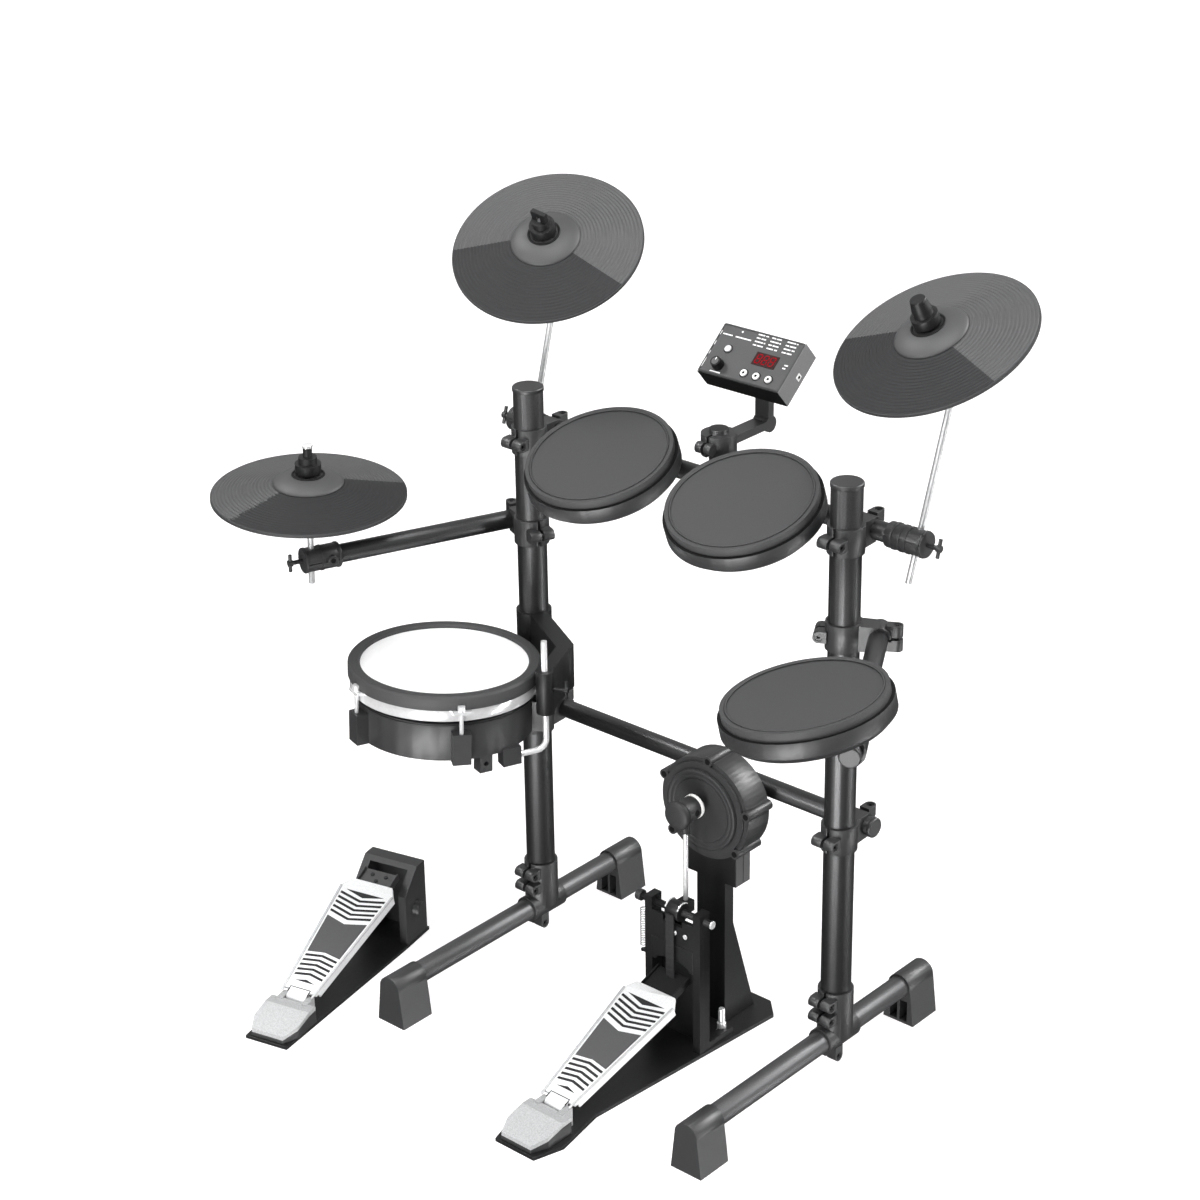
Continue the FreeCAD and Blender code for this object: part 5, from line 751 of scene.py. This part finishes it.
def clamp_lug():
    """Round bolt head on the flank of the hi-hat's rod clamp, with a dark core that is painted shade in its hole.
    """
    clamp = clamp_place("hi_hat")
    place = axes_at(clamp @ Vector((CLAMP_RADIUS, 0, LUG_PLACE)), UP, clamp.to_3x3() @ UP)
    head = disc(LUG_RADIUS, LUG_SINK, LUG_PROUD)
    piece("clamp_lug", head, place, "black_moulding", "hi_hat_stand", EDGE_WIDTH)
    # Near-black core: painted shade inside the hole
    hole = disc(LUG_HOLE, LUG_SINK, LUG_PROUD + SKIN)
    piece("clamp_lug_hole_shade", hole, place, "case_black", "hi_hat_stand")


def band_clamp(name):
    """Raised bands round a rod clamp."""
    inner = CLAMP_RADIUS - SKIN
    outer = CLAMP_RADIUS + BAND_PROUD
    bands = [ring(inner, outer, at - BAND_HALF, at + BAND_HALF) for at in CLAMP_BANDS[name]]
    piece(name + "_clamp_bands", joined(bands), clamp_place(name), "black_moulding", name + "_stand",
          SKIN)


# Tom pads


def pad_place(node):
    """Local frame on top of a round pad, and its radius."""
    polygons = frame["nodes"][node].data.polygons
    up = max(polygons, key=lambda polygon: polygon.area).normal.copy()
    if up.z < 0:
        up.negate()
    across = AWAY.cross(up).normalized()
    turn = axes_at(Vector(), across, up.cross(across))
    low, high = node_span(node, turn)
    middle = (low + high) / 2
    return turn @ Matrix.Translation(Vector((middle.x, middle.y, high.z))), (high.x - low.x) / 2


def dress_pad(body):
    """Fine line round a pad's playing face, and painted shade on the shell's rim round its rubber."""
    node = body + "_rubber"
    place, radius = pad_place(node)
    middle = radius * FACE_LINE_SHARE
    line = [(middle + FACE_LINE_HALF, -SKIN), (middle, FACE_LINE_RISE), (middle - FACE_LINE_HALF, -SKIN)]
    smooth(piece(node + "_line", lathe(line), place, "pad_rubber", body))
    # Near-black ring on the shell's top round the rubber: painted shade of the gap between rubber and shell
    shade_ledge = ring(radius + SKIN, radius + SHADE_LEDGE_WIDTH, -PAD_RAISE - SKIN, SKIN - PAD_RAISE)
    piece(node + "_ledge", shade_ledge, place, "case_black", body)


# Footboards


def pedal_place(joint_name, slope):
    """Local frame at a pedal's hinge, y toward the toe and up by a slope."""
    joint = JOINTS[joint_name]
    across = Vector(joint["axis"]).normalized()
    along = UP.cross(across) * math.cos(slope) + UP * math.sin(slope)
    return axes_at(Vector(joint["pos_m"]), across, along)


def board_half(y):
    """Half the board's width at a place along it."""
    return HEEL_HALF + (TOE_HALF - HEEL_HALF) * y / BOARD_LENGTH


def chevron(y, dip):
    """Bent strip across the board, its middle moved along by a dip."""
    half = board_half(y) - STRIP_INSET
    return [(-half, y), (0, y + dip), (half, y), (half, y + STRIP_WIDTH),
            (0, y + dip + STRIP_WIDTH), (-half, y + STRIP_WIDTH)]


def cap_outline(y, dip):
    """Filled end of a group of strips: straight on one side, bent on the other."""
    half = board_half(y) - 2 * STRIP_INSET
    return [(-half, y), (0, y + dip), (half, y)]


def strip_shapes():
    """All dark strips of a board."""
    low = BOARD_TOP - STRIP_SINK
    high = BOARD_TOP + STRIP_PROUD
    outlines = [cap_outline(TOE_CAP, TOE_DIP), cap_outline(HEEL_CAP, HEEL_DIP)]
    for k in range(STRIP_COUNT):
        outlines.append(chevron(TOE_START + STRIP_PITCH * k, TOE_DIP))
        outlines.append(chevron(HEEL_START + STRIP_PITCH * k, HEEL_DIP))
    return joined([slab(outline, low, high) for outline in outlines])


def insert_shape():
    """Grey grip between the two groups of strips, notched at both ends."""
    near = board_half(INSERT_FROM) - STRIP_INSET
    far = board_half(INSERT_TO) - STRIP_INSET
    outline = [(-near, INSERT_FROM), (0, INSERT_FROM + HEEL_DIP), (near, INSERT_FROM),
               (far, INSERT_TO), (0, INSERT_TO + TOE_DIP), (-far, INSERT_TO)]
    return slab(outline, BOARD_TOP - STRIP_SINK, BOARD_TOP + STRIP_PROUD)


def rail_shapes():
    """Raised rails along both sides of a board."""
    half = [(HEEL_HALF - RAIL_WIDTH, 0), (HEEL_HALF, 0), (TOE_HALF, BOARD_LENGTH),
            (TOE_HALF - RAIL_WIDTH, BOARD_LENGTH)]
    outlines = [[(side * x, y) for x, y in half] for side in (-1, 1)]
    return joined([slab(outline, BOARD_TOP - STRIP_SINK, BOARD_TOP + RAIL_HEIGHT) for outline in outlines])


def gap_shapes():
    """Dark seam round the hinge leaf at the heel."""
    low = BOARD_TOP - STRIP_SINK
    high = BOARD_TOP + SKIN
    cross = block(-GAP_HALF, GAP_HALF, GAP_AT, GAP_AT + GAP_WIDTH, low, high)
    legs = [block(x, x + GAP_WIDTH, GAP_AT - GAP_LEG, GAP_AT, low, high)
            for x in (-GAP_HALF, GAP_HALF - GAP_WIDTH)]
    return joined([cross] + legs)


def tongue_shapes(end):
    """Plate with turned-up sides that carries on from the toe."""
    plate = block(-TONGUE_HALF, TONGUE_HALF, TONGUE_FROM, end, TONGUE_UNDER, TONGUE_OVER)
    top = TONGUE_OVER + FLANGE_HEIGHT
    sides = [block(x, x + FLANGE_WIDTH, TONGUE_FROM, end, TONGUE_UNDER, top)
             for x in (-TONGUE_HALF - FLANGE_WIDTH, TONGUE_HALF)]
    return joined([plate] + sides)


def heel_rise(y):
    """Height of the dark heel body at a place along it."""
    return HEEL_LOW + (HEEL_HIGH - HEEL_LOW) * (y - HEEL_FRONT) / (HEEL_FLAT - HEEL_FRONT)


def heel_shape():
    """Dark body under the heel plate, lower toward the nose."""
    half = [(HEEL_SIDE, HEEL_BACK, HEEL_HIGH), (HEEL_SIDE, HEEL_FLAT, HEEL_HIGH),
            (HEEL_SIDE, HEEL_WAIST, heel_rise(HEEL_WAIST)), (HEEL_NOSE, HEEL_FRONT, HEEL_LOW)]
    corners = [(-x, y, rise) for x, y, rise in half] + half[::-1]
    foot = [Vector((x, y, HEEL_BED)) for x, y, rise in corners]
    top = [Vector((x, y, HEEL_BED + rise)) for x, y, rise in corners]
    return tube([foot, top])


def dress_board(name, joint_name):
    """Strips, grip, rails, seam, tongue and heel of one pedal."""
    place = pedal_place(joint_name, BOARD_SLOPE)
    tongue = tongue_shapes(TONGUE_ENDS[name])
    piece(name + "_tongue", tongue, place, TONGUE_LOOKS[name], name, SKIN)
    level = pedal_place(joint_name, 0)
    piece(name + "_heel", heel_shape(), level, "black_moulding", "rack", EDGE_WIDTH)
    piece(name + "_strips", strip_shapes(), place, "strap_black", name, SKIN)
    piece(name + "_grip", insert_shape(), place, "grip_grey", name, SKIN)
    piece(name + "_rails", rail_shapes(), place, "cast_silver", name, EDGE_WIDTH)
    piece(name + "_seam", gap_shapes(), place, "strap_black", name)


def tongue_bolts():
    """Three bolt heads on the hi-hat pedal's tongue."""
    heads = bolt_heads(BOLT_RADIUS, TONGUE_OVER - SKIN, TONGUE_OVER + BOLT_HEIGHT, TONGUE_BOLT_PLACES)
    place = pedal_place("hh_pedal", BOARD_SLOPE)
    piece("tongue_bolts", heads, place, "black_steel", "hh_board", EDGE_WIDTH)


# Module


def panel_place():
    """Local frame of the module's panel: middle at the origin, x to the right, y up the panel."""
    joint = JOINTS["module_tilt"]
    normal = Vector(JOINTS["volume_turn"]["axis"]).normalized()
    across = Vector(joint["axis"]).normalized()
    origin = Vector(joint["pos_m"]) + normal * (PANEL_RISE - PANEL_SINK)
    return axes_at(origin, across, normal.cross(across))


def panel_spot(right, down):
    """Point on the panel from shares of its width and depth."""
    return PANEL_WIDTH * right - PANEL_WIDTH / 2, PANEL_DEPTH / 2 - PANEL_DEPTH * down


def print_bar(left, right, down):
    """Plain printed bar on the panel."""
    x_low, y = panel_spot(left, down)
    x_high, _ = panel_spot(right, down)
    return block(x_low, x_high, y - PRINT_ROW / 2, y + PRINT_ROW / 2, -PRINT_HEIGHT, PRINT_HEIGHT)


def print_words(left, right, down, order):
    """Row of plain bars, as long as words, on the panel."""
    words = WORD_SHARES[order % len(WORD_SHARES)]
    span = right - left
    return [print_bar(left + span * start, left + span * end, down) for start, end in words]


def edge_bar(top, foot):
    """Plain printed bar along the panel's left edge."""
    x, y_high = panel_spot(EDGE_PLACE_SHARE, top)
    _, y_low = panel_spot(EDGE_PLACE_SHARE, foot)
    return block(x - EDGE_COLUMN / 2, x + EDGE_COLUMN / 2, y_low, y_high, -PRINT_HEIGHT, PRINT_HEIGHT)


def segment_outline(x, y, length, upright):
    """Six-cornered bar of one display segment."""
    reach = length / 2 - SEGMENT_GAP
    half = SEGMENT / 2
    bar = [(-reach, 0), (half - reach, -half), (reach - half, -half), (reach, 0),
           (reach - half, half), (half - reach, half)]
    if upright:
        bar = [(-b, a) for a, b in bar]
    return [(x + a + DIGIT_LEAN * (y + b), y + b) for a, b in bar]


def digit_shapes(middle):
    """Seven segments of one digit."""
    side = DIGIT_WIDTH / 2
    rise = DIGIT_HEIGHT / 2
    outlines = [segment_outline(middle, level, DIGIT_WIDTH, False) for level in (-rise, 0, rise)]
    for x in (-side, side):
        for y in (-rise / 2, rise / 2):
            outlines.append(segment_outline(middle + x, y, rise, True))
    return [slab(outline, 0, LENS_HEIGHT + SKIN) for outline in outlines]


def dress_display(place):
    """Dark lens and three lit digits."""
    left, right, top, foot = LENS_SHARES
    x_low, y_high = panel_spot(left, top)
    x_high, y_low = panel_spot(right, foot)
    lens = block(x_low, x_high, y_low, y_high, -PRINT_HEIGHT, LENS_HEIGHT)
    piece("display_lens", lens, place, "lens_black", "module", SKIN)
    middle = Vector(((x_low + x_high) / 2, (y_low + y_high) / 2, 0))
    shapes = []
    for k in range(DIGITS):
        shapes += digit_shapes(DIGIT_STEP * (k - (DIGITS - 1) / 2))
    piece("display_digits", joined(shapes), place @ Matrix.Translation(middle), "display_red", "module")


def dress_module():
    """Printed bars, lamp, display, case trim, knob and keys of the module."""
    place = panel_place()
    bars = []
    for column, (left, right) in enumerate(LIST_COLUMN_SHARES):
        for row, down in enumerate(LIST_ROW_SHARES):
            bars += print_words(left, right, down, column + row)
    bars += [print_bar(left, right, down) for left, right, down in LABEL_SHARES]
    bars += [edge_bar(top, foot) for top, foot in EDGE_SHARES]
    piece("panel_print", joined(bars), place, "print_white", "module")
    lamp = disc(LED_RADIUS, -PRINT_HEIGHT, LENS_HEIGHT, panel_spot(*LED_SHARES))
    piece("panel_lamp", lamp, place, "white_key", "module", SKIN)
    dress_display(place)
    dress_case(place)
    paint_knob_highlight(place)
    ring_key("power_button", place)
    for key in ("button_1", "button_2", "button_3"):
        ring_key(key, place)
        dot_key(key, place)


def dress_case(place):
    """Dark front skirt of the case, its pale right side and the port there, whose opening is a dark block of
    painted shade.
    """
    front = PANEL_DEPTH / 2
    side = PANEL_WIDTH / 2
    foot = SKIRT_PROUD - CASE_DEPTH
    skirt = block(-side, side, -front - SKIRT_PROUD, SKIRT_PROUD - front, foot, SKIRT_TOP)
    piece("case_skirt", skirt, place, "case_black", "module", SKIN)
    cheek = block(side - SKIRT_PROUD, side + SKIRT_PROUD, -front, front, foot, SKIRT_TOP)
    piece("case_cheek", cheek, place, "case_side", "module", SKIN)
    level = -CASE_DEPTH * PORT_PLACE_SHARE
    near = side + SKIRT_PROUD
    far = near + PORT_PROUD
    rim = block(near - SKIN, far, -PORT_HALF, PORT_HALF, level - PORT_HALF, level + PORT_HALF)
    piece("port_rim", rim, place, "white_key", "module", SKIN)
    # Near-black block: painted shade inside the port's opening
    hole = block(far - SKIN, far + SKIN, -PORT_HOLE_HALF, PORT_HOLE_HALF, level - PORT_HOLE_HALF,
                 level + PORT_HOLE_HALF)
    piece("port_hole_shade", hole, place, "case_black", "module")


def key_spot(node, place):
    """Middle of a knob or push button on the panel, its radius and its top."""
    low, high = node_span(node, place)
    return (low + high) / 2, (high.x - low.x) / 2, high.z


def paint_knob_highlight(place):
    """Paler disc on top of the volume knob, a painted highlight of its top face, and the printed pointer."""
    middle, _, top = key_spot("volume_knob", place)
    # Grey disc: painted highlight of the knob's top face
    cap = disc(KNOB_HIGHLIGHT_RADIUS, top - SKIN, top + KNOB_HIGHLIGHT_HEIGHT, middle)
    piece("knob_highlight", cap, place, "grip_grey", "knob", SKIN)
    pointer = block(middle.x - POINTER_HALF, middle.x + POINTER_HALF, middle.y + POINTER_FROM,
                    middle.y + KNOB_HIGHLIGHT_RADIUS, top, top + KNOB_HIGHLIGHT_HEIGHT + SKIN)
    piece("knob_pointer", pointer, place, "print_white", "knob")


def ring_key(node, place):
    """Dark ring round a push button: painted shade at the key's foot."""
    middle, radius, _ = key_spot(node, place)
    key_shade = ring(radius + SKIN, radius + KEY_SHADE_WIDTH, -PRINT_HEIGHT, PRINT_HEIGHT)
    spot = place @ Matrix.Translation(Vector((middle.x, middle.y, 0)))
    piece(node + "_seat", key_shade, spot, "case_black", "module")


def dot_key(node, place):
    """Small dark dot on top of a push button."""
    middle, _, top = key_spot(node, place)
    dot = disc(KEY_DOT_RADIUS, top - SKIN, top + KEY_DOT_RISE, middle)
    piece(node + "_dot", dot, place, "case_black", node.replace("button", "key"), SKIN)


# Snare head


def snare_head():
    """Stretched woven disc in place of the plain one."""
    profile = [(HEAD_RADIUS * (k + 1) / HEAD_RINGS, 0) for k in range(HEAD_RINGS)]
    profile += [(radius, -HEAD_THICK) for radius, _ in reversed(profile)]
    core = disc(HEAD_RADIUS / HEAD_RINGS, -HEAD_THICK, 0, (0, 0), ROUND_STEPS)
    shape = joined([lathe(profile), core])
    head = piece("snare_head", shape, SNARE_PLACE, "mesh_white", "snare")
    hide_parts("snare_mesh")


def snare_gap_shade():
    """Round dark bead on the shell just under the steel hoop: painted shade of the gap between hoop and shell."""
    bead = oval(SHELL_RADIUS, SHELL_TOP - GAP_SHADE_REACH, GAP_SHADE_REACH, GAP_SHADE_REACH, GAP_SHADE_STEPS)
    smooth(piece("snare_gap_shade", lathe(bead), SNARE_PLACE, "black_steel", "snare"))


# Kick pedal


def strap_shape(low, high):
    """Ribbed strap between two heights, in the part's frame."""
    middle = (low + high) / 2
    rings = []
    for step in range(STRAP_STEPS + 1):
        rib = STRAP_RIB if step % STRAP_RIB_EVERY == 0 else 0
        thick = STRAP_THICK / 2 + rib
        z = low.z + (high.z - low.z) * step / STRAP_STEPS
        rings.append([Vector((middle.x + x * STRAP_HALF, middle.y + y * thick, z)) for x, y in CORNERS])
    return tube(rings)


def make_strap():
    """Strap from the footboard's toe up to the beater's cam."""
    low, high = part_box("pedal_strap")
    strap = piece("strap", strap_shape(low, high), Matrix(), "strap_black", None)
    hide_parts("pedal_strap")
    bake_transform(strap)


def helix_shape(low, high):
    """Close-wound wire between two heights."""
    middle = (low + high) / 2
    length = high.z - low.z - 2 * SPRING_WIRE
    count = SPRING_TURNS * SPRING_STEPS
    section = oval(0, 0, SPRING_WIRE, SPRING_WIRE, WIRE_SIDES)
    rings = []
    for step in range(count + 1):
        angle = math.tau * step / SPRING_STEPS
        out = Vector((math.cos(angle), math.sin(angle), 0))
        height = low.z + SPRING_WIRE + length * step / count
        centre = Vector((middle.x, middle.y, height)) + out * SPRING_RADIUS
        rings.append([centre + out * x + UP * z for x, z in section])
    return tube(rings)


def make_spring():
    """Return spring that stretches from the frame to the beater's crank."""
    low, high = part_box("kick_spring")
    spring = smooth(piece("spring", helix_shape(low, high), Matrix(), "spring_steel", None))
    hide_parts("kick_spring")
    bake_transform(spring)


def kick_face(node):
    """Local frame on a node's front, in line with the kick pad."""
    low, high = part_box("kick_pad")
    middle = (low + high) / 2
    middle.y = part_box(node)[0].y
    return axes_at(middle, RIGHT, UP)


def pad_rings():
    """Raised rim and ring on the kick pad's face."""
    rings = lathe(PAD_RING_PROFILE)
    smooth(piece("kick_pad_rings", rings, kick_face("kick_pad"), "kick_rubber", "rack"))


def plate_outline():
    """Bridge between the pedal frame's posts, arched below."""
    outline = [(-PLATE_HALF, PLATE_TOP), (-PLATE_HALF, PLATE_FOOT)]
    for k in range(ARCH_STEPS + 1):
        turn = math.pi * k / ARCH_STEPS
        outline.append((-ARCH_HALF * math.cos(turn), PLATE_FOOT + ARCH_RISE * math.sin(turn)))
    return outline + [(PLATE_HALF, PLATE_FOOT), (PLATE_HALF, PLATE_TOP)]


def web_outline():
    """Web above the bridge, notched for the cam."""
    return [(-PLATE_HALF, PLATE_TOP), (PLATE_HALF, PLATE_TOP), (PLATE_HALF, WEB_SIDE_TOP),
            (WEB_NOTCH, WEB_SIDE_TOP), (WEB_NOTCH, WEB_NOTCH_TOP), (-WEB_NOTCH, WEB_NOTCH_TOP),
            (-WEB_NOTCH, WEB_SIDE_TOP), (-PLATE_HALF, WEB_SIDE_TOP)]


def dress_frame():
    """Bridge, web, back plate and bright bolts of the pedal frame."""
    middle = JOINTS["kick_pedal"]["pos_m"][0]
    place = axes_at(Vector((middle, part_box("pedal_frame")[0].y, 0)), RIGHT, UP)
    plate = slab(plate_outline(), -PLATE_THICK, 0)
    piece("frame_plate", plate, place, "black_steel", "rack", EDGE_WIDTH)
    web = slab(web_outline(), WEB_FAR, WEB_NEAR)
    piece("frame_web", web, place, "black_steel", "rack", SKIN)
    back = block(middle - BACK_LEFT, middle + ARCH_HALF, BACK_NEAR, BACK_FAR, BACK_FOOT, BACK_TOP)
    piece("frame_back", back, Matrix(), "black_steel", "rack", EDGE_WIDTH)
    heads = bolt_heads(FRAME_BOLT_RADIUS, 0, FRAME_BOLT_HEIGHT, [(x - middle, z) for x, z in FRAME_BOLTS])
    piece("frame_bolts", heads, place, "chrome", "rack", EDGE_WIDTH)


def axle_ends():
    """Bright cap and dark knob on the two ends of the beater's axle."""
    low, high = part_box("beater_axle")
    spring_low, spring_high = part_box("kick_spring")
    y = (spring_low.y + spring_high.y) / 2
    z = JOINTS["beater_swing"]["pos_m"][2]
    cap = disc(CAP_RADIUS, -SKIN, CAP_THICK)
    right = axes_at(Vector((high.x, y, z)), AWAY, UP)
    piece("axle_cap", cap, right, "chrome", "beater", EDGE_WIDTH)
    knob = disc(AXLE_KNOB_RADIUS, -SKIN, AXLE_KNOB_LENGTH)
    left = axes_at(Vector((low.x, y, z)), UP, AWAY)
    piece("axle_knob", knob, left, "black_moulding", "beater", EDGE_WIDTH)


def clutch_nut():
    """Bright six-sided nut on top of the hi-hat clutch."""
    place = cymbal_place("hi_hat")
    top = node_span("hi_hat_clutch", place)[1].z
    nut = disc(NUT_RADIUS, top - SKIN, top + NUT_HEIGHT, (0, 0), NUT_SIDES)
    piece("clutch_nut", nut, place, "chrome", "hi_hat_stand", EDGE_WIDTH)


def base_spur():
    """Bright anchor bolt on the base plate beside the column."""
    shape = lathe(SPUR_PROFILE, SPUR_STEPS)
    spur = piece("base_spur", shape, Matrix.Translation(SPUR_PLACE), "chrome", "rack", SKIN)
    smooth(close_poles(spur))


def beater_spot(share):
    """Point on the axis of the beater's head, by its share of the way forward, and the radius."""
    low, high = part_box("beater_head")
    radius = (high.x - low.x) / 2
    return Vector((low.x + radius, low.y + (high.y - low.y) * share, high.z - radius)), radius


def beater_felt():
    """Pale felt band round the striking end of the beater."""
    spot, radius = beater_spot(1)
    band = ring(radius - SKIN, radius + FELT_PROUD, -FELT_DEPTH, -SKIN)
    piece("beater_felt", band, axes_at(spot, RIGHT, -UP), "felt_white", "beater", SKIN)


def beater_tip():
    """Rounded cap on the player's end of the beater."""
    spot, _ = beater_spot(0)
    tip = lathe(TIP_PROFILE)
    made = piece("beater_tip", tip, axes_at(spot, RIGHT, UP), "kick_rubber", "beater")
    smooth(close_poles(made))


def beater_hole_shade():
    """Dark disc in the right side of the beater's head: painted shade in place of a hole."""
    spot, radius = beater_spot(SIDE_HOLE_SHARE)
    spot.x += radius
    hole = disc(SIDE_HOLE_RADIUS, -SIDE_HOLE_SINK, SKIN, (0, 0), BOLT_STEPS)
    piece("beater_hole_shade", hole, axes_at(spot, AWAY, UP), "case_black", "beater")


def housing_screws():
    """Dark screw heads in the bosses round the kick pad's housing."""
    turns = map(math.radians, BOSS_TURNS)
    spots = [(BOSS_REACH * math.cos(turn), BOSS_REACH * math.sin(turn)) for turn in turns]
    heads = bolt_heads(SCREW_RADIUS, -SKIN, SCREW_PROUD, spots)
    piece("housing_screws", heads, kick_face("kick_housing"), "case_black", "rack", SKIN)


def neck_cheeks():
    """Paired thin plates on both flanks of the tower's head."""
    low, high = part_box("kick_tower")
    thick = CHEEK_PROUD + SKIN
    shapes = []
    for x in (low.x - CHEEK_PROUD, high.x - SKIN):
        for near, far in CHEEK_SPANS:
            shapes.append(block(x, x + thick, low.y + near, low.y + far, CHEEK_FOOT, CHEEK_TOP))
    piece("neck_cheeks", joined(shapes), Matrix(), "grip_grey", "rack", SKIN)


def cam_highlight_trim():
    """Bright chrome rims over the top of the beater's cam, partly its silver part and partly painted highlight."""
    middle = JOINTS["kick_pedal"]["pos_m"][0]
    axle = Vector(JOINTS["beater_swing"]["pos_m"])
    place = axes_at(Vector((middle, axle.y, axle.z)), AWAY, UP)
    turns = [CAM_FROM + (CAM_TO - CAM_FROM) * k / CAM_STEPS for k in range(CAM_STEPS + 1)]
    outline = [(CAM_OUTER * math.cos(turn), CAM_OUTER * math.sin(turn)) for turn in turns]
    outline += [(CAM_INNER * math.cos(turn), CAM_INNER * math.sin(turn)) for turn in reversed(turns)]
    rims = [slab(outline, near, far) for near, far in CAM_SIDES]
    piece("cam_highlight_trim", joined(rims), place, "chrome", "beater", SKIN)


# Studio


def stage_mesh(name, shape, material):
    """Part of the studio that shows in no reflection and casts no shade."""
    made = mesh_object(name, shape, Matrix(), material)
    made.visible_glossy = False
    made.visible_shadow = False
    return made


def make_floor():
    """Wide pale floor under the feet."""
    points = [Vector((FLOOR_REACH * x, FLOOR_REACH * y, 0)) for x, y in CORNERS]
    shape = points, [tuple(range(len(points)))]
    stage_mesh("floor", shape, stage_material("floor", FLOOR_GLOW, FLOOR_GLOW_STRENGTH))


def make_wall():
    """Round backdrop far behind everything, which casts no light."""
    shape = ring(WALL_REACH, WALL_REACH + WALL_THICK, 0, WALL_HEIGHT, WALL_STEPS)
    wall = stage_mesh("wall", shape, stage_material("wall", WALL_GLOW, WALL_GLOW_STRENGTH))
    wall.visible_diffuse = False


def make_sky():
    """Soft surroundings, darker below the horizon."""
    world = bpy.data.worlds.new("studio")
    bpy.context.scene.world = world
    world.use_nodes = True
    nodes = world.node_tree.nodes
    links = world.node_tree.links
    place = nodes.new("ShaderNodeTexCoord")
    parts = nodes.new("ShaderNodeSeparateXYZ")
    rise = nodes.new("ShaderNodeMapRange")
    for socket, value in SKY_RAMP.items():
        rise.inputs[socket].default_value = value
    links.new(place.outputs["Generated"], parts.inputs["Vector"])
    links.new(parts.outputs["Z"], rise.inputs["Value"])
    links.new(rise.outputs["Result"], nodes["Background"].inputs["Strength"])
    nodes["Background"].inputs["Color"].default_value = (1, 1, 1, 1)


def make_lights():
    for name, spot, size, power in LIGHTS:
        data = bpy.data.lights.new(name, "AREA")
        data.shape = "RECTANGLE"
        data.size, data.size_y = size
        data.energy = power
        lamp = bpy.data.objects.new(name, data)
        lamp.location = spot
        lamp.rotation_euler = (LIGHT_AIM - Vector(spot)).to_track_quat("-Z", "Y").to_euler()
        lamp.visible_glossy = name not in FILLS
        lamp.visible_diffuse = name not in GLINTS
        bpy.context.scene.collection.objects.link(lamp)


def make_camera():
    """Camera at the photo's view."""
    level = math.cos(CAMERA_FALL)
    back = Vector((math.sin(CAMERA_TURN) * level, -math.cos(CAMERA_TURN) * level, math.sin(CAMERA_FALL)))
    flat = Vector((math.cos(CAMERA_TURN), math.sin(CAMERA_TURN), 0))
    tall = back.cross(flat)
    right = flat * math.cos(CAMERA_ROLL) + tall * math.sin(CAMERA_ROLL)
    data = bpy.data.cameras.new("view")
    data.lens = CAMERA_LENS
    data.sensor_width = CAMERA_SENSOR
    camera = bpy.data.objects.new("view", data)
    camera.matrix_world = axes_at(CAMERA_PLACE, right, back.cross(right))
    bpy.context.scene.collection.objects.link(camera)
    bpy.context.scene.camera = camera


finish_cad_pieces()
for cymbal in SECTORS:
    skin_cymbal(cymbal)
for clamp in CLAMP_BANDS:
    band_clamp(clamp)
clamp_lug()
for pad in PADS:
    dress_pad(pad)
for board, pedal in BOARDS.items():
    dress_board(board, pedal)
dress_module()
snare_head()
snare_gap_shade()
tongue_bolts()
make_strap()
make_spring()
pad_rings()
dress_frame()
axle_ends()
clutch_nut()
base_spur()
beater_felt()
beater_tip()
beater_hole_shade()
housing_screws()
neck_cheeks()
cam_highlight_trim()
make_floor()
make_wall()
make_sky()
make_lights()
make_camera()
bpy.context.scene.view_settings.view_transform = "Standard"
